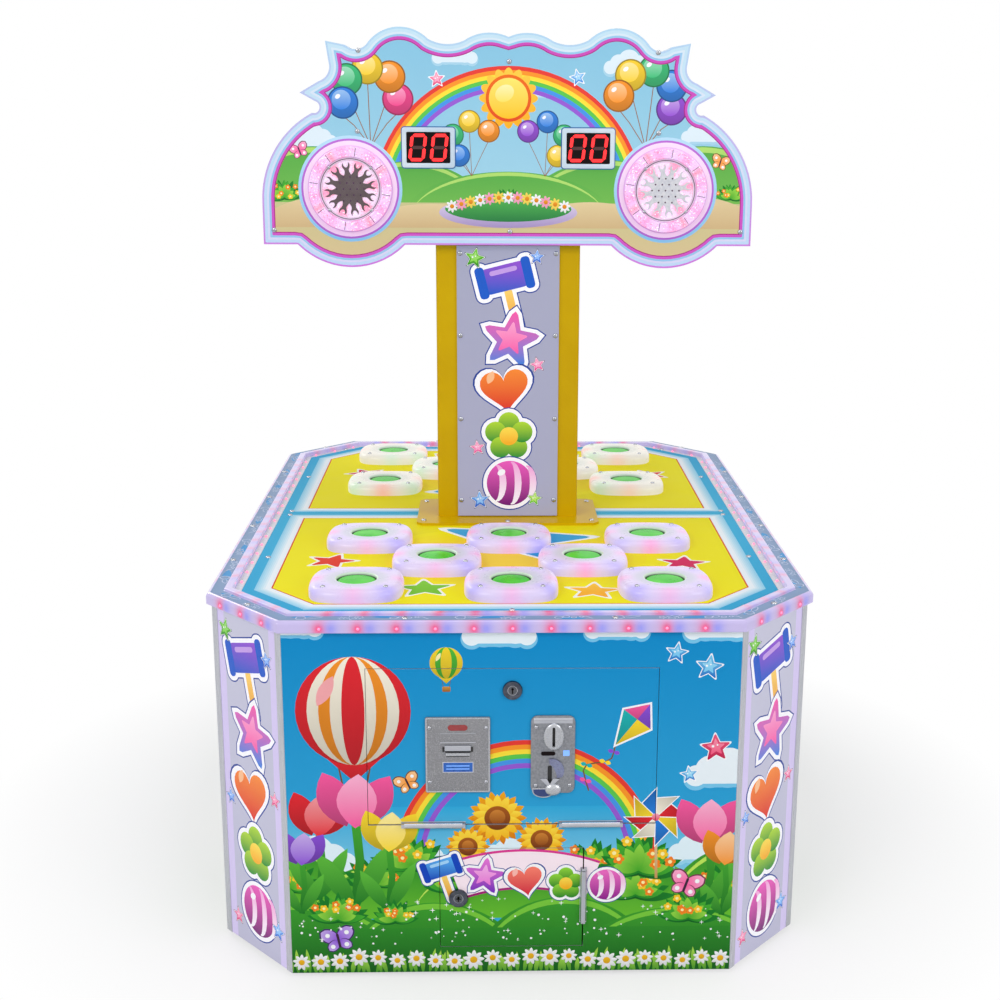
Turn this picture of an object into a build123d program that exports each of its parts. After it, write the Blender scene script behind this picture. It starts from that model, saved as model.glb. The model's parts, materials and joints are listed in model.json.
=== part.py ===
from build123d import *
import os
from math import atan2, cos, degrees, hypot, pi, sin

# A mole pounding machine for two players, one at each end.
# Millimetres. X to the right, the front faces -Y, Z up. Origin: on the floor, under the middle.

# Clearances
seat_gap = 0.3          # between pieces that lie against each other
turn_gap = 0.05         # round a shaft that turns
slide_gap = 0.08        # round a rod that slides
overrun = 1             # how far a cut runs past a face

# Cabinet
face_half = 333         # half the width of the front and rear faces
corner_run_x = 120
corner_run_y = 138
side_half = 507         # half the length of the long sides
foot_height = 8
foot_half = 20
foot_inset = 62
panel_height = 546
panel_thickness = 15
base_thickness = 18
bulkhead_thickness = 18
bearer_width = 40
bearer_height = 24

# Light boxes on the corners
cover_thickness = 4
lamp_pocket_depth = 8
corner_depth = 27       # from the face of the cover to the back of the board
pocket_margin = 18
strip_width = 14
strip_thickness = 1.2

# Rim round the top
rim_overhang = 8.5
rim_band_width = 26
rim_lip_width = 12
rim_light_width = 12
rim_thickness = 18
rim_lip_height = 4
rim_round = 6
rim_board_thickness = 1.6

# Play decks
deck_thickness = 14
deck_gap = 0.5
deck_hole_half = 33
cable_hole_half = 30

# Hole rings: three, two and three in rows, at each end
ring_pitch_x = 236
ring_row_pitch_share = 0.2155       # of the cabinet's half length
ring_first_row_share = 0.3225       # of the cabinet's half length, out to the nearest row
ring_half_share = 0.518             # of the distance between rows
ring_height = 20
ring_bulge = 3          # how far each side bows out
ring_corner_run = 36
ring_corner_bow = 6
ring_chamfer_width = 9
ring_chamfer_height = 6
ring_hole_radius = 31
ring_wall = 22          # from the outline in to the pocket under the ring
ring_pocket_depth = 13
ring_board_gap = 1
ring_board_thickness = 1.6

# Moles and their drives
head_radius = 29
head_length = 92
dome_height = 6
dome_flat_share = 0.5      # of the dome's half angle, where its flat top ends
head_sides = 16
head_drop = 3           # from the top of the ring down to the top of the mole
rod_half = 6
rod_length = 145
stop_half = 14
stop_height = 8
drive_half = 22
drive_height = 150
drive_bore_depth = 146
drive_flange = 56
drive_flange_thickness = 5
plug_box_width = 18
plug_box_depth = 10
plug_box_height = 26

# Trays that carry the drives
tray_thickness = 3
tray_lip = 20
tray_lip_inset = 14
tray_margin = 44        # past the outer rows of drives
runner_size = 30

# Column between the players
column_half_x = 125
column_half_y = 42
column_wall = 2
column_round = 4
column_top = 1370
flange_half_x = 162
flange_half_y = 92
flange_thickness = 5
flange_corner = 10
window_half = 76
window_margin = 14
light_panel_half = 89
light_panel_thickness = 4
light_panel_end_gap = 2
light_bar_width = 24
light_bar_depth = 8
light_bar_end = 20
lamp_arm_length = 165
lamp_arm_size = 20
lamp_arm_drop = 80      # from the top of the column
bracket_leg = 30
bracket_height = 40
bracket_thickness = 3
bracket_half = 30

# Marquee
marquee_half = 417.5
marquee_drop = 313      # from the top of the column down to the straight bottom edge
marquee_height = 356    # from the straight bottom edge to the top of the two side lobes
marquee_half_depth = 60
marquee_wall = 3
marquee_face_thickness = 4

# Speakers: two on each face
speaker_x = 268
speaker_rise = 93       # from the marquee's bottom edge
speaker_hole_radius = 46
grille_radius = 53
grille_thickness = 2.5
grille_band = 6         # plain ring round the edge
arm_count = 12
arm_turn = 10           # degrees, of the first arm from level
fork_radius = 36.5      # from the centre to the round end of each flame
flame_round = 2.9
flame_tip_radius = 45.5
flame_bulge_share = 0.66
gap_root = 1.4
gap_mouth = 3.4
gap_inner_radius = 27
light_ring_radius = 70
light_ring_height = 8
driver_half = 50
driver_flange = 4
basket_depth = 26
basket_front_half = 44
basket_back_half = 28
magnet_half = 25
magnet_depth = 14

# Score displays: two on each face
display_x = 135
display_rise = 162      # from the marquee's bottom edge
display_half_x = 44.5
display_half_z = 33
display_frame = 7.5
display_proud = 5
display_corner = 6
display_module_inset = 5
display_module_depth = 11

# Hinges: a pin between two ears, and a barrel that turns on it
barrel_radius = 4.5
pin_radius = 2
ear_half = 3.2
ear_thickness = 4
leaf_thickness = 1
leaf_depth = 14
leaf_gap = 0.3
hinge_out = 3           # from the face of the panel out to the pin
groove_gap = 0.5
door_gap = 1.5

# Coin door, hinged along its bottom edge
coin_door_half = 213
coin_door_height = 245
coin_door_drop = 57     # from the top of the panel
coin_hinge_x = 117
coin_hinge_length = 95
coin_lock_drop = 33     # from the top of the door
coin_parts_drop = 133   # from the top of the door to the middle of the acceptor

# Cash door, hinged on its right
cash_door_half = 108
cash_door_bottom = 51
cash_door_drop = 39.5   # from the bottom of the coin door
cash_hinge_x = 107.5
cash_hinge_rise = 3.75  # from the middle of the door
cash_hinge_share = 0.5635
cash_lock_x = -80.5

# Rear service door, hinged on the right as the front player sees it
rear_door_half = 200
rear_door_bottom = 120
rear_door_drop = 84     # from the top of the panel
rear_hinge_x = 201
rear_hinge_length = 160
rear_lock_x = -172

# Cam locks
bezel_radius = 14
bezel_thickness = 3
lock_half = 9.5
lock_proud = 1          # past the back of the door
plug_radius = 6.5
plug_proud = 1
key_slot_width = 2
key_slot_length = 8
key_slot_depth = 6
cam_length = 41
cam_width = 14
cam_thickness = 3

# Coin acceptor, on the coin door
acceptor_x = 59.5
acceptor_half_x = 32.5
acceptor_half_z = 61
acceptor_thickness = 3
acceptor_corner = 5
acceptor_bevel = 1.5
acceptor_body_half = 27
acceptor_body_top = 56
acceptor_body_bottom = 70
acceptor_body_depth = 60
body_gap = 0.5
boss_half_x = 15
boss_half_z = 18.5
boss_rise = 27
boss_thickness = 4
coin_slot_width = 3
coin_slot_height = 33
coin_slot_depth = 40
window_length = 21
window_height = 7
window_depth = 1
window_shift = 8
return_slot_x = -5
return_slot_z = -35
return_slot_width = 5
return_slot_height = 30
return_slot_depth = 25
vee_half = 16
vee_height = 14
vee_top = -39
vee_thickness = 3
cup_x = -14
cup_half = 16
cup_top = -54
cup_bottom = -70
cup_wall = 2
cup_proud = 7
cup_depth = 30

# Coin return lever
lever_pivot_x = 0
lever_pivot_z = -9
lever_length = 27
lever_thickness = 2.5
lever_pin_radius = 2
lever_pin_length = 8

# Ticket dispenser, on the coin door
ticket_x = -80
ticket_half_x = 47.5
ticket_half_z = 59
ticket_thickness = 3
ticket_bevel = 1
ticket_body_half_x = 40
ticket_body_half_z = 50
ticket_body_depth = 80
mouth_half = 19
mouth_height = 5
mouth_rise = 4
mouth_depth = 34
mouth_lip_height = 8
mouth_lip_proud = 3
ticket_window_rise = 47
ticket_window_length = 29
ticket_window_height = 9.5

# Cash box and chute
cash_box_half = 80
cash_box_depth = 180
cash_box_drop = 16.5    # from the top of the cash door
cash_box_wall = 1.5
cash_box_front_gap = 8
cash_runner_x = 55
cash_runner_width = 30
handle_half = 40
handle_bar = 6
handle_reach = 5
handle_drop = 40
chute_top_half = 34
chute_bottom_half = 26
chute_bottom_x = 40
chute_depth = 64
chute_bottom_depth = 44
chute_height = 36
chute_wall = 1.5
chute_drop = 4

# Mains inlet, in the rear panel
inlet_x = -270
inlet_z = 80
inlet_flange_half_x = 25
inlet_flange_half_z = 15.5
inlet_flange_thickness = 2
inlet_flange_corner = 2
inlet_body_half_x = 14
inlet_body_half_z = 11
inlet_body_depth = 24
socket_half_x = 12
socket_half_z = 8.5
socket_depth = 16
blade_width = 2
blade_height = 4
blade_length = 13
blade_x = 7
blade_z = 3

# Power supply and control board, on the bulkhead
supply_width = 215
supply_depth = 50
supply_height = 115
supply_x = 170
supply_z = 100
board_width = 200
board_height = 150
board_thickness = 2
board_x = -165
board_z = 100
standoff = 8
standoff_size = 8
chip_size = 30
chip_height = 6

# Worked out from the sizes above
cabinet_half_x = face_half + corner_run_x
cabinet_half_y = side_half + corner_run_y
face_turn = atan2(corner_run_y, corner_run_x)
panel_top = foot_height + panel_height
coin_door_top = panel_top - coin_door_drop
coin_door_bottom = coin_door_top - coin_door_height
coin_parts_z = coin_door_top - coin_parts_drop
cash_door_top = coin_door_bottom - cash_door_drop
cash_door_middle = (cash_door_bottom + cash_door_top) / 2
rear_door_top = panel_top - rear_door_drop
rear_door_middle = (rear_door_bottom + rear_door_top) / 2
base_top = foot_height + base_thickness
deck_top = panel_top + deck_thickness
rim_top = panel_top + rim_thickness
rim_inner = rim_band_width + rim_lip_width + rim_light_width - rim_overhang
ring_top = deck_top + ring_height
head_top = ring_top - head_drop
head_bottom = head_top - head_length
drive_top = head_bottom - seat_gap - stop_height
tray_top = drive_top - drive_height
tray_bottom = tray_top - tray_thickness
flange_top = deck_top + flange_thickness
marquee_bottom = column_top - marquee_drop
speaker_z = marquee_bottom + speaker_rise
display_z = marquee_bottom + display_rise
hinge_seat = leaf_gap + leaf_thickness
front_face = -cabinet_half_y
ring_first_row = cabinet_half_y * ring_first_row_share
ring_row_pitch = cabinet_half_y * ring_row_pitch_share
ring_half = ring_row_pitch * ring_half_share
ring_pocket_half = ring_half - ring_wall
last_row = ring_first_row + 2 * ring_row_pitch
hole_row_shares = [(2, -1), (2, 0), (2, 1), (1, -1 / 2), (1, 1 / 2), (0, -1), (0, 0), (0, 1)]
hole_places = [(ring_pitch_x * share, -ring_first_row - ring_row_pitch * row)
               for row, share in hole_row_shares]
ends = {"front": 1, "rear": -1}


def block(x0, x1, y0, y1, z0, z1):
    return Pos((x0 + x1) / 2, (y0 + y1) / 2, (z0 + z1) / 2) * Box(x1 - x0, y1 - y0, z1 - z0)


def post(x, y, z0, z1, radius):
    return Pos(x, y, (z0 + z1) / 2) * Cylinder(radius, z1 - z0)


def bar_y(x, z, y0, y1, radius):
    return Pos(x, (y0 + y1) / 2, z) * Rot(90, 0, 0) * Cylinder(radius, y1 - y0)


# A flat shape drawn in X and Z, made solid from y0 to y1.
def slab(shape, y0, y1):
    return Pos(0, y0, 0) * extrude(Plane.XZ * shape, y1 - y0, dir=(0, 1, 0))


def prism(points, z0, z1):
    return Pos(0, 0, z0) * extrude(make_face(Polyline(*points, close=True)), z1 - z0, dir=(0, 0, 1))


# A flat rectangle with its corners cut off.
def cut_corners(half_x, half_y, corner):
    return chamfer(Rectangle(2 * half_x, 2 * half_y).vertices(), corner)


# The two ends of the machine are the same, turned half round.
def both_ends(shapes):
    return shapes + [Rot(0, 0, 180) * shape for shape in shapes]


# Corners of the cabinet's outline, anticlockwise from the front left. The straight sides are
# moved inwards by inset, and the slanted ones by as much or by slant_inset.
def corners(inset, slant_inset=None):
    slant = inset if slant_inset is None else slant_inset
    x1 = face_half - (slant - inset * cos(face_turn)) / sin(face_turn)
    y1 = cabinet_half_y - inset
    x2 = cabinet_half_x - inset
    y2 = side_half - (slant - inset * sin(face_turn)) / cos(face_turn)
    return [(-x1, -y1), (x1, -y1), (x2, -y2), (x2, y2), (x1, y1), (-x1, y1), (-x2, y2), (-x2, -y2)]


# One side of the cabinet between two insets, mitred to its neighbours.
def wall(side, near, far, z0, z1):
    outer, inner = corners(near), corners(far)
    after = (side + 1) % len(outer)
    return prism([outer[side], outer[after], inner[after], inner[side]], z0, z1)


# A plane on the outside of one side: x along it, y up, z outwards, origin at the floor.
def side_plane(side):
    points = corners(0)
    a, b = points[side], points[(side + 1) % len(points)]
    length = hypot(b[0] - a[0], b[1] - a[1])
    along = ((b[0] - a[0]) / length, (b[1] - a[1]) / length, 0)
    return Plane(origin=((a[0] + b[0]) / 2, (a[1] + b[1]) / 2, 0), x_dir=along,
                 z_dir=(along[1], -along[0], 0)), length


# The sides in the order of corners().
side_names = ["front", "front right", "right", "rear right", "rear", "rear left", "left", "front left"]
front_side, right_side, rear_side, left_side = [side_names.index(name)
                                                for name in ("front", "right", "rear", "left")]
corner_sides = [side for side, name in enumerate(side_names) if " " in name]


# Hinges. Local frame: the pin along Z, the door on +X, the room inside on +Y.
def hinge(length):
    inner = length / 2 - ear_thickness
    grip = inner - leaf_gap
    clear = barrel_radius + leaf_gap
    fixed = post(0, 0, -inner, inner, pin_radius)
    for z0, z1 in ((-length / 2, -inner), (inner, length / 2)):
        fixed += block(-ear_half, ear_half, -ear_half, ear_half, z0, z1)
        fixed += block(-hinge_seat, -leaf_gap, ear_half, clear, z0, z1)
    fixed += block(-hinge_seat, -leaf_gap, clear, leaf_depth, -length / 2, length / 2)
    moving = post(0, 0, -grip, grip, barrel_radius)
    moving += block(leaf_gap, hinge_seat, 0, leaf_depth, -grip, grip)
    moving -= post(0, 0, -grip - overrun, grip + overrun, pin_radius + turn_gap)
    groove = post(0, 0, -length / 2 - leaf_gap, length / 2 + leaf_gap, barrel_radius + groove_gap)
    return fixed, moving, groove


def coin_hinge_planes():
    return [Plane(origin=(x, front_face - hinge_out, coin_door_bottom), x_dir=(0, 0, 1), z_dir=(-1, 0, 0))
            for x in (-coin_hinge_x, coin_hinge_x)]


def cash_hinge_planes():
    return [Plane(origin=(cash_hinge_x, front_face - hinge_out, cash_door_middle + cash_hinge_rise),
                  x_dir=(-1, 0, 0), z_dir=(0, 0, -1))]


def rear_hinge_planes():
    return [Plane(origin=(rear_hinge_x, cabinet_half_y + hinge_out, rear_door_middle),
                  x_dir=(-1, 0, 0), z_dir=(0, 0, 1))]


def place_hinges(planes, length):
    fixed, moving, groove = hinge(length)
    return ([plane * fixed for plane in planes], [plane * moving for plane in planes],
            [plane * groove for plane in planes])


coin_hinges = place_hinges(coin_hinge_planes(), coin_hinge_length)
cash_hinges = place_hinges(cash_hinge_planes(), cash_hinge_share * (cash_door_top - cash_door_bottom))
rear_hinges = place_hinges(rear_hinge_planes(), rear_hinge_length)


def cut(shape, tools):
    for tool in tools:
        shape -= tool
    return shape


# Cam locks. Local frame: x and z as the machine, the door's outer face at y = 0, the inside on +Y.
def lock_body():
    back = panel_thickness + lock_proud
    body = bar_y(0, 0, -bezel_thickness, 0, bezel_radius)
    body += block(-lock_half, lock_half, 0, back, -lock_half, lock_half)
    return body - bar_y(0, 0, -bezel_thickness - overrun, back + overrun, plug_radius + turn_gap)


def lock_plug():
    back = panel_thickness + lock_proud + seat_gap
    mouth = -bezel_thickness - plug_proud
    plug = bar_y(0, 0, mouth, back, plug_radius)
    plug += block(-cam_length, cam_width / 2, back, back + cam_thickness, -cam_width / 2, cam_width / 2)
    return plug - block(-key_slot_width / 2, key_slot_width / 2, mouth - overrun, mouth + key_slot_depth,
                        -key_slot_length / 2, key_slot_length / 2)


def lock_hole(x, z, face, inward):
    y0, y1 = sorted((face - inward * overrun, face + inward * (panel_thickness + overrun)))
    half = lock_half + seat_gap
    return block(x - half, x + half, y0, y1, z - half, z + half)


def make_base_board():
    return prism(corners(panel_thickness, corner_depth), foot_height, base_top)


def make_feet():
    x1, y1 = face_half - foot_inset, cabinet_half_y - foot_inset
    x2 = cabinet_half_x - foot_inset
    places = [(x, y) for x in (-x1, x1) for y in (-y1, y1)] + [(-x2, 0), (x2, 0)]
    return [block(x - foot_half, x + foot_half, y - foot_half, y + foot_half, 0, foot_height)
            for x, y in places]


def make_front_panel():
    panel = wall(front_side, 0, panel_thickness, foot_height, panel_top)
    y0, y1 = front_face - overrun, front_face + panel_thickness + overrun
    side = coin_door_half + door_gap
    panel -= block(-side, side, y0, y1, coin_door_bottom - hinge_seat, coin_door_top + door_gap)
    panel -= block(-cash_door_half - door_gap, cash_hinge_x + hinge_seat, y0, y1,
                   cash_door_bottom - door_gap, cash_door_top + door_gap)
    return cut(panel, coin_hinges[2] + cash_hinges[2])


def make_rear_panel():
    panel = wall(rear_side, 0, panel_thickness, foot_height, panel_top)
    y0, y1 = cabinet_half_y - panel_thickness - overrun, cabinet_half_y + overrun
    panel -= block(-rear_door_half - door_gap, rear_hinge_x + hinge_seat, y0, y1,
                   rear_door_bottom - door_gap, rear_door_top + door_gap)
    panel -= block(inlet_x - inlet_body_half_x - seat_gap, inlet_x + inlet_body_half_x + seat_gap, y0, y1,
                   inlet_z - inlet_body_half_z - seat_gap, inlet_z + inlet_body_half_z + seat_gap)
    return cut(panel, rear_hinges[2])


def make_side_panels():
    return [wall(side, 0, panel_thickness, foot_height, panel_top) for side in (right_side, left_side)]


# A corner board is routed out behind its cover, for the lamps.
def make_corner_panel(side):
    plane, length = side_plane(side)
    board = wall(side, cover_thickness, corner_depth, foot_height, panel_top)
    middle = foot_height + panel_height / 2
    depth = lamp_pocket_depth + overrun
    pocket = Pos(0, middle, -cover_thickness - lamp_pocket_depth + depth / 2) * Box(
        length - 2 * corner_depth - 2 * pocket_margin, panel_height - 2 * pocket_margin, depth)
    return board - plane * pocket


def make_corner_cover(side):
    return wall(side, 0, cover_thickness, foot_height, panel_top)


def make_corner_strips(side):
    plane, length = side_plane(side)
    middle = foot_height + panel_height / 2
    strips = [Pos(end * (length - strip_width) / 2, middle, strip_thickness / 2)
              * Box(strip_width, panel_height, strip_thickness) for end in (-1, 1)]
    return [plane * strip for strip in strips]


def bulkhead_block(z1):
    inside = cabinet_half_x - panel_thickness
    return block(-inside, inside, -bulkhead_thickness / 2, bulkhead_thickness / 2, base_top, z1)


def make_bulkhead():
    notch = block(-cable_hole_half, cable_hole_half, -bulkhead_thickness, bulkhead_thickness,
                  panel_top - cable_hole_half, panel_top + overrun)
    return bulkhead_block(panel_top) - notch


def make_battens():
    z0 = panel_top - bearer_height
    pieces = []
    for side in range(len(corners(0))):
        near = corner_depth if side in corner_sides else panel_thickness
        batten = wall(side, near, panel_thickness + bearer_width, z0, panel_top)
        pieces += (batten - bulkhead_block(panel_top + overrun)).solids()
    inside = cabinet_half_x - panel_thickness
    runner = [block(x - runner_size / 2, x + runner_size / 2, -side_half + panel_thickness,
                    -ring_first_row + tray_margin, tray_bottom - runner_size, tray_bottom)
              for x in (-inside + runner_size / 2, inside - runner_size / 2)]
    back = front_face + panel_thickness
    cash_runners = [block(x - cash_runner_width / 2, x + cash_runner_width / 2, back,
                          back + cash_box_front_gap + cash_box_depth, base_top,
                          cash_door_bottom) for x in (-cash_runner_x, cash_runner_x)]
    return pieces + both_ends(runner) + cash_runners


def square_hole(x, y, half):
    return block(x - half, x + half, y - half, y + half, panel_top - overrun, flange_top + overrun)


def make_deck():
    x1, y1 = corners(rim_inner + deck_gap)[1]
    x2, y2 = corners(rim_inner + deck_gap)[2]
    edge = -deck_gap / 2
    deck = prism([(-x2, edge), (-x2, y2), (-x1, y1), (x1, y1), (x2, y2), (x2, edge)], panel_top, deck_top)
    holes = [square_hole(x, y, deck_hole_half) for x, y in hole_places]
    return cut(deck, holes + [square_hole(0, 0, cable_hole_half)])


def make_rim():
    lip_outer = rim_band_width - rim_overhang
    light_outer = lip_outer + rim_lip_width
    rim = prism(corners(-rim_overhang), panel_top, rim_top)
    edges = [edge for edge in rim.edges() if abs(edge.center().Z - rim_top) < overrun / 2]
    rim = fillet(edges, rim_round)
    lip = prism(corners(lip_outer), rim_top, rim_top + rim_lip_height)
    channel = prism(corners(light_outer), deck_top - rim_board_thickness, rim_top + rim_lip_height + overrun)
    inside = prism(corners(rim_inner), panel_top - overrun, rim_top + rim_lip_height + overrun)
    return rim + lip - channel - inside


def ring_outline():
    flat = ring_half - ring_bulge
    run = ring_half - ring_corner_run
    bow = (run + flat) / 2 + ring_corner_bow
    quarter = [(0, ring_half), (run, flat), (bow, bow), (flat, run)]
    points = []
    for turn in range(4):
        points += quarter
        quarter = [(y, -x) for x, y in quarter]
    return make_face(Polyline(*points, close=True))


def make_ring():
    ring = extrude(ring_outline(), ring_height, dir=(0, 0, 1))
    top = ring.faces().sort_by(Axis.Z)[-1]
    ring = chamfer(top.edges(), ring_chamfer_height, ring_chamfer_width)
    hole = RegularPolygon(ring_hole_radius, head_sides, major_radius=False)
    ring -= Pos(0, 0, -overrun) * extrude(hole, ring_height + 2 * overrun, dir=(0, 0, 1))
    ring -= block(-ring_pocket_half, ring_pocket_half, -ring_pocket_half, ring_pocket_half, -overrun,
                  ring_pocket_depth)
    return Pos(0, 0, deck_top) * ring


def make_ring_board():
    outer, inner = ring_pocket_half - ring_board_gap, deck_hole_half
    top = deck_top + ring_board_thickness
    board = block(-outer, outer, -outer, outer, deck_top, top)
    return board - block(-inner, inner, -inner, inner, deck_top - overrun, top + overrun)


def make_light_boards():
    outer = rim_band_width - rim_overhang + rim_lip_width
    z0 = deck_top - rim_board_thickness
    strip = prism(corners(outer + deck_gap), z0, deck_top)
    strip -= prism(corners(rim_inner), z0 - overrun, deck_top + overrun)
    ring_board = make_ring_board()
    return both_ends([Pos(x, y, 0) * ring_board for x, y in hole_places]) + [strip]


# The head is a prism with a flat-sided dome that follows a ball, few faces for sixteen of them.
# Its rod is square, so that the head can't turn.
def make_mole():
    ball = hypot(head_radius, dome_height) ** 2 / (2 * dome_height)
    lean = atan2(head_radius, ball - dome_height)
    flat = ball * sin(lean * dome_flat_share)
    slope_height = ball * (cos(lean * dome_flat_share) - cos(lean))
    outline = RegularPolygon(head_radius, head_sides)
    head = extrude(outline, head_length - dome_height + slope_height, dir=(0, 0, 1))
    top = head.faces().sort_by(Axis.Z)[-1]
    slope_width = (head_radius - flat) * cos(pi / head_sides)
    head = Pos(0, 0, head_bottom) * chamfer(top.edges(), slope_height, slope_width)
    rod = block(-rod_half, rod_half, -rod_half, rod_half, head_bottom - rod_length, head_bottom)
    return head, rod


def make_drive():
    body_bottom = tray_top + drive_flange_thickness
    flange, body, box = drive_flange / 2, drive_half, plug_box_width / 2
    drive = block(-flange, flange, -flange, flange, tray_top, body_bottom)
    drive += block(-body, body, -body, body, body_bottom, drive_top)
    drive += block(-box, box, body, body + plug_box_depth, body_bottom, body_bottom + plug_box_height)
    bore, hole, stop_top = rod_half + slide_gap, rod_half + seat_gap, drive_top + stop_height
    drive -= block(-bore, bore, -bore, bore, drive_top - drive_bore_depth, drive_top + overrun)
    stop = block(-stop_half, stop_half, -stop_half, stop_half, drive_top, stop_top)
    return drive, stop - block(-hole, hole, -hole, hole, drive_top - overrun, stop_top + overrun)


def make_tray():
    y0, y1 = -last_row - tray_margin, -ring_first_row + tray_margin
    plate = prism(corners(corner_depth + seat_gap), tray_bottom, tray_top)
    plate &= block(-cabinet_half_x, cabinet_half_x, y0, y1, tray_bottom, tray_top)
    lip_half = face_half - tray_lip_inset
    plate += block(-lip_half, lip_half, y0, y0 + tray_thickness, tray_bottom - tray_lip, tray_bottom)
    return plate + block(-lip_half, lip_half, y1 - tray_thickness, y1, tray_bottom - tray_lip, tray_bottom)


# The column is a steel box tube with a window at the front and the rear, on a foot flange.
def make_column():
    tube = RectangleRounded(2 * column_half_x, 2 * column_half_y, column_round)
    bore = Rectangle(2 * (column_half_x - column_wall), 2 * (column_half_y - column_wall))
    shell = Pos(0, 0, flange_top) * extrude(tube - bore, column_top - flange_top, dir=(0, 0, 1))
    shell -= block(-window_half, window_half, -column_half_y - overrun, column_half_y + overrun,
                   flange_top + window_margin, marquee_bottom - window_margin)
    outline = cut_corners(flange_half_x, flange_half_y, flange_corner)
    flange = Pos(0, 0, deck_top) * extrude(outline, flange_thickness, dir=(0, 0, 1))
    flange -= square_hole(0, 0, cable_hole_half)
    z0 = marquee_bottom + marquee_wall
    pieces = [shell, flange]
    for side in (-1, 1):
        near, far = column_half_x, column_half_x + bracket_leg
        foot = block(*sorted((side * near, side * far)), -bracket_half, bracket_half, z0,
                     z0 + bracket_thickness)
        back = block(*sorted((side * near, side * (near + bracket_thickness))), -bracket_half, bracket_half,
                     z0, z0 + bracket_height)
        pieces.append(foot + back)
    return pieces


def make_column_panels():
    z0, z1 = flange_top + light_panel_end_gap, marquee_bottom - light_panel_end_gap
    panel = block(-light_panel_half, light_panel_half, -column_half_y - light_panel_thickness,
                  -column_half_y, z0, z1)
    return both_ends([panel])


def make_light_bars():
    z0, z1 = flange_top + light_bar_end, marquee_bottom - light_bar_end
    inside = column_half_x - column_wall
    bar = block(inside - light_bar_depth, inside, -light_bar_width / 2, light_bar_width / 2, z0, z1)
    arm_level = column_top - lamp_arm_drop
    arm = block(column_half_x, column_half_x + lamp_arm_length, -lamp_arm_size / 2, lamp_arm_size / 2,
                arm_level - lamp_arm_size / 2, arm_level + lamp_arm_size / 2)
    return both_ends([bar, arm])


# Half the marquee's outline, from the middle of the bottom edge round to the middle of the top.
# Each point is a share of the half width, and of the height above the bottom edge.
marquee_line_shares = {
    "bottom": [(0, 0), (0.423, 0)],
    "speaker_lobe": [(0.423, 0), (0.642, -0.107), (0.862, 0)],
    "side": [(0.862, 0), (1, 0), (1, 0.197)],
    "shoulder": [(1, 0.197), (0.955, 0.416), (0.79, 0.61)],
    "low_notch": [(0.79, 0.61), (0.758, 0.64), (0.776, 0.664)],
    "low_tip": [(0.776, 0.664), (0.836, 0.702), (0.757, 0.755)],
    "high_notch": [(0.757, 0.755), (0.722, 0.788), (0.717, 0.84)],
    "high_tip": [(0.717, 0.84), (0.729, 0.935), (0.65, 0.917)],
    "valley": [(0.65, 0.917), (0.6, 0.899), (0.56, 0.93)],
    "side_lobe": [(0.56, 0.93), (0.436, 1), (0.321, 0.947)],
    "dip": [(0.321, 0.947), (0.24, 0.924), (0.177, 0.941)],
    "middle_lobe": [(0.177, 0.941), (0.09, 0.976), (0, 0.958)],
}
marquee_arcs = {"speaker_lobe", "shoulder", "low_notch", "high_notch", "valley", "side_lobe", "dip",
                "middle_lobe"}


def marquee_face():
    edges = []
    for name, shares in marquee_line_shares.items():
        points = [(marquee_half * x, marquee_bottom + marquee_height * z) for x, z in shares]
        edges.append(ThreePointArc(*points) if name in marquee_arcs else Polyline(*points))
    half = Curve() + edges
    return make_face(half + mirror(half, Plane.YZ))


def make_marquee_housing():
    outline = marquee_face()
    inner = offset(outline, amount=-marquee_wall)
    depth = marquee_half_depth - marquee_face_thickness
    housing = slab(outline - inner, -depth, depth)
    x, y = column_half_x + seat_gap, column_half_y + seat_gap
    return housing - block(-x, x, -y, y, marquee_bottom - overrun, marquee_bottom + marquee_wall + overrun)


def make_marquee_face():
    y0 = -marquee_half_depth
    face = slab(marquee_face(), y0, y0 + marquee_face_thickness)
    for side in (-1, 1):
        face -= bar_y(side * speaker_x, speaker_z, y0 - overrun, y0 + marquee_face_thickness + overrun,
                      speaker_hole_radius)
        hole = Pos(side * display_x, display_z) * display_window(0)
        face -= slab(hole, y0 - overrun, y0 + marquee_face_thickness + overrun)
    return face


# The grille: a hub, twelve forked arms out to a plain ring. A flame with few edges lies in each
# fork, and a tapered gap lies between each arm and the next.
def flame():
    lean = (fork_radius + flame_tip_radius) / 2
    half = flame_round * flame_bulge_share
    return make_face(Polyline((fork_radius - flame_round, 0), (fork_radius, flame_round), (lean, half),
                              (flame_tip_radius, 0), (lean, -half), (fork_radius, -flame_round), close=True))


def arm_gap():
    rim = grille_radius - grille_band
    return make_face(Polyline((gap_inner_radius, gap_root), (rim, gap_mouth), (rim, -gap_mouth),
                              (gap_inner_radius, -gap_root), close=True))


def make_grille():
    plate = Circle(grille_radius)
    step = 360 / arm_count
    for arm in range(arm_count):
        plate -= Rot(0, 0, arm_turn + arm * step) * flame()
        plate -= Rot(0, 0, arm_turn + (arm + 1 / 2) * step) * arm_gap()
    return slab(plate, -marquee_half_depth - grille_thickness, -marquee_half_depth)


def make_light_ring():
    y0 = -marquee_half_depth - light_ring_height
    ring = bar_y(0, 0, y0, -marquee_half_depth, light_ring_radius)
    return ring - bar_y(0, 0, y0 - overrun, -marquee_half_depth + overrun, grille_radius + seat_gap)


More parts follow.
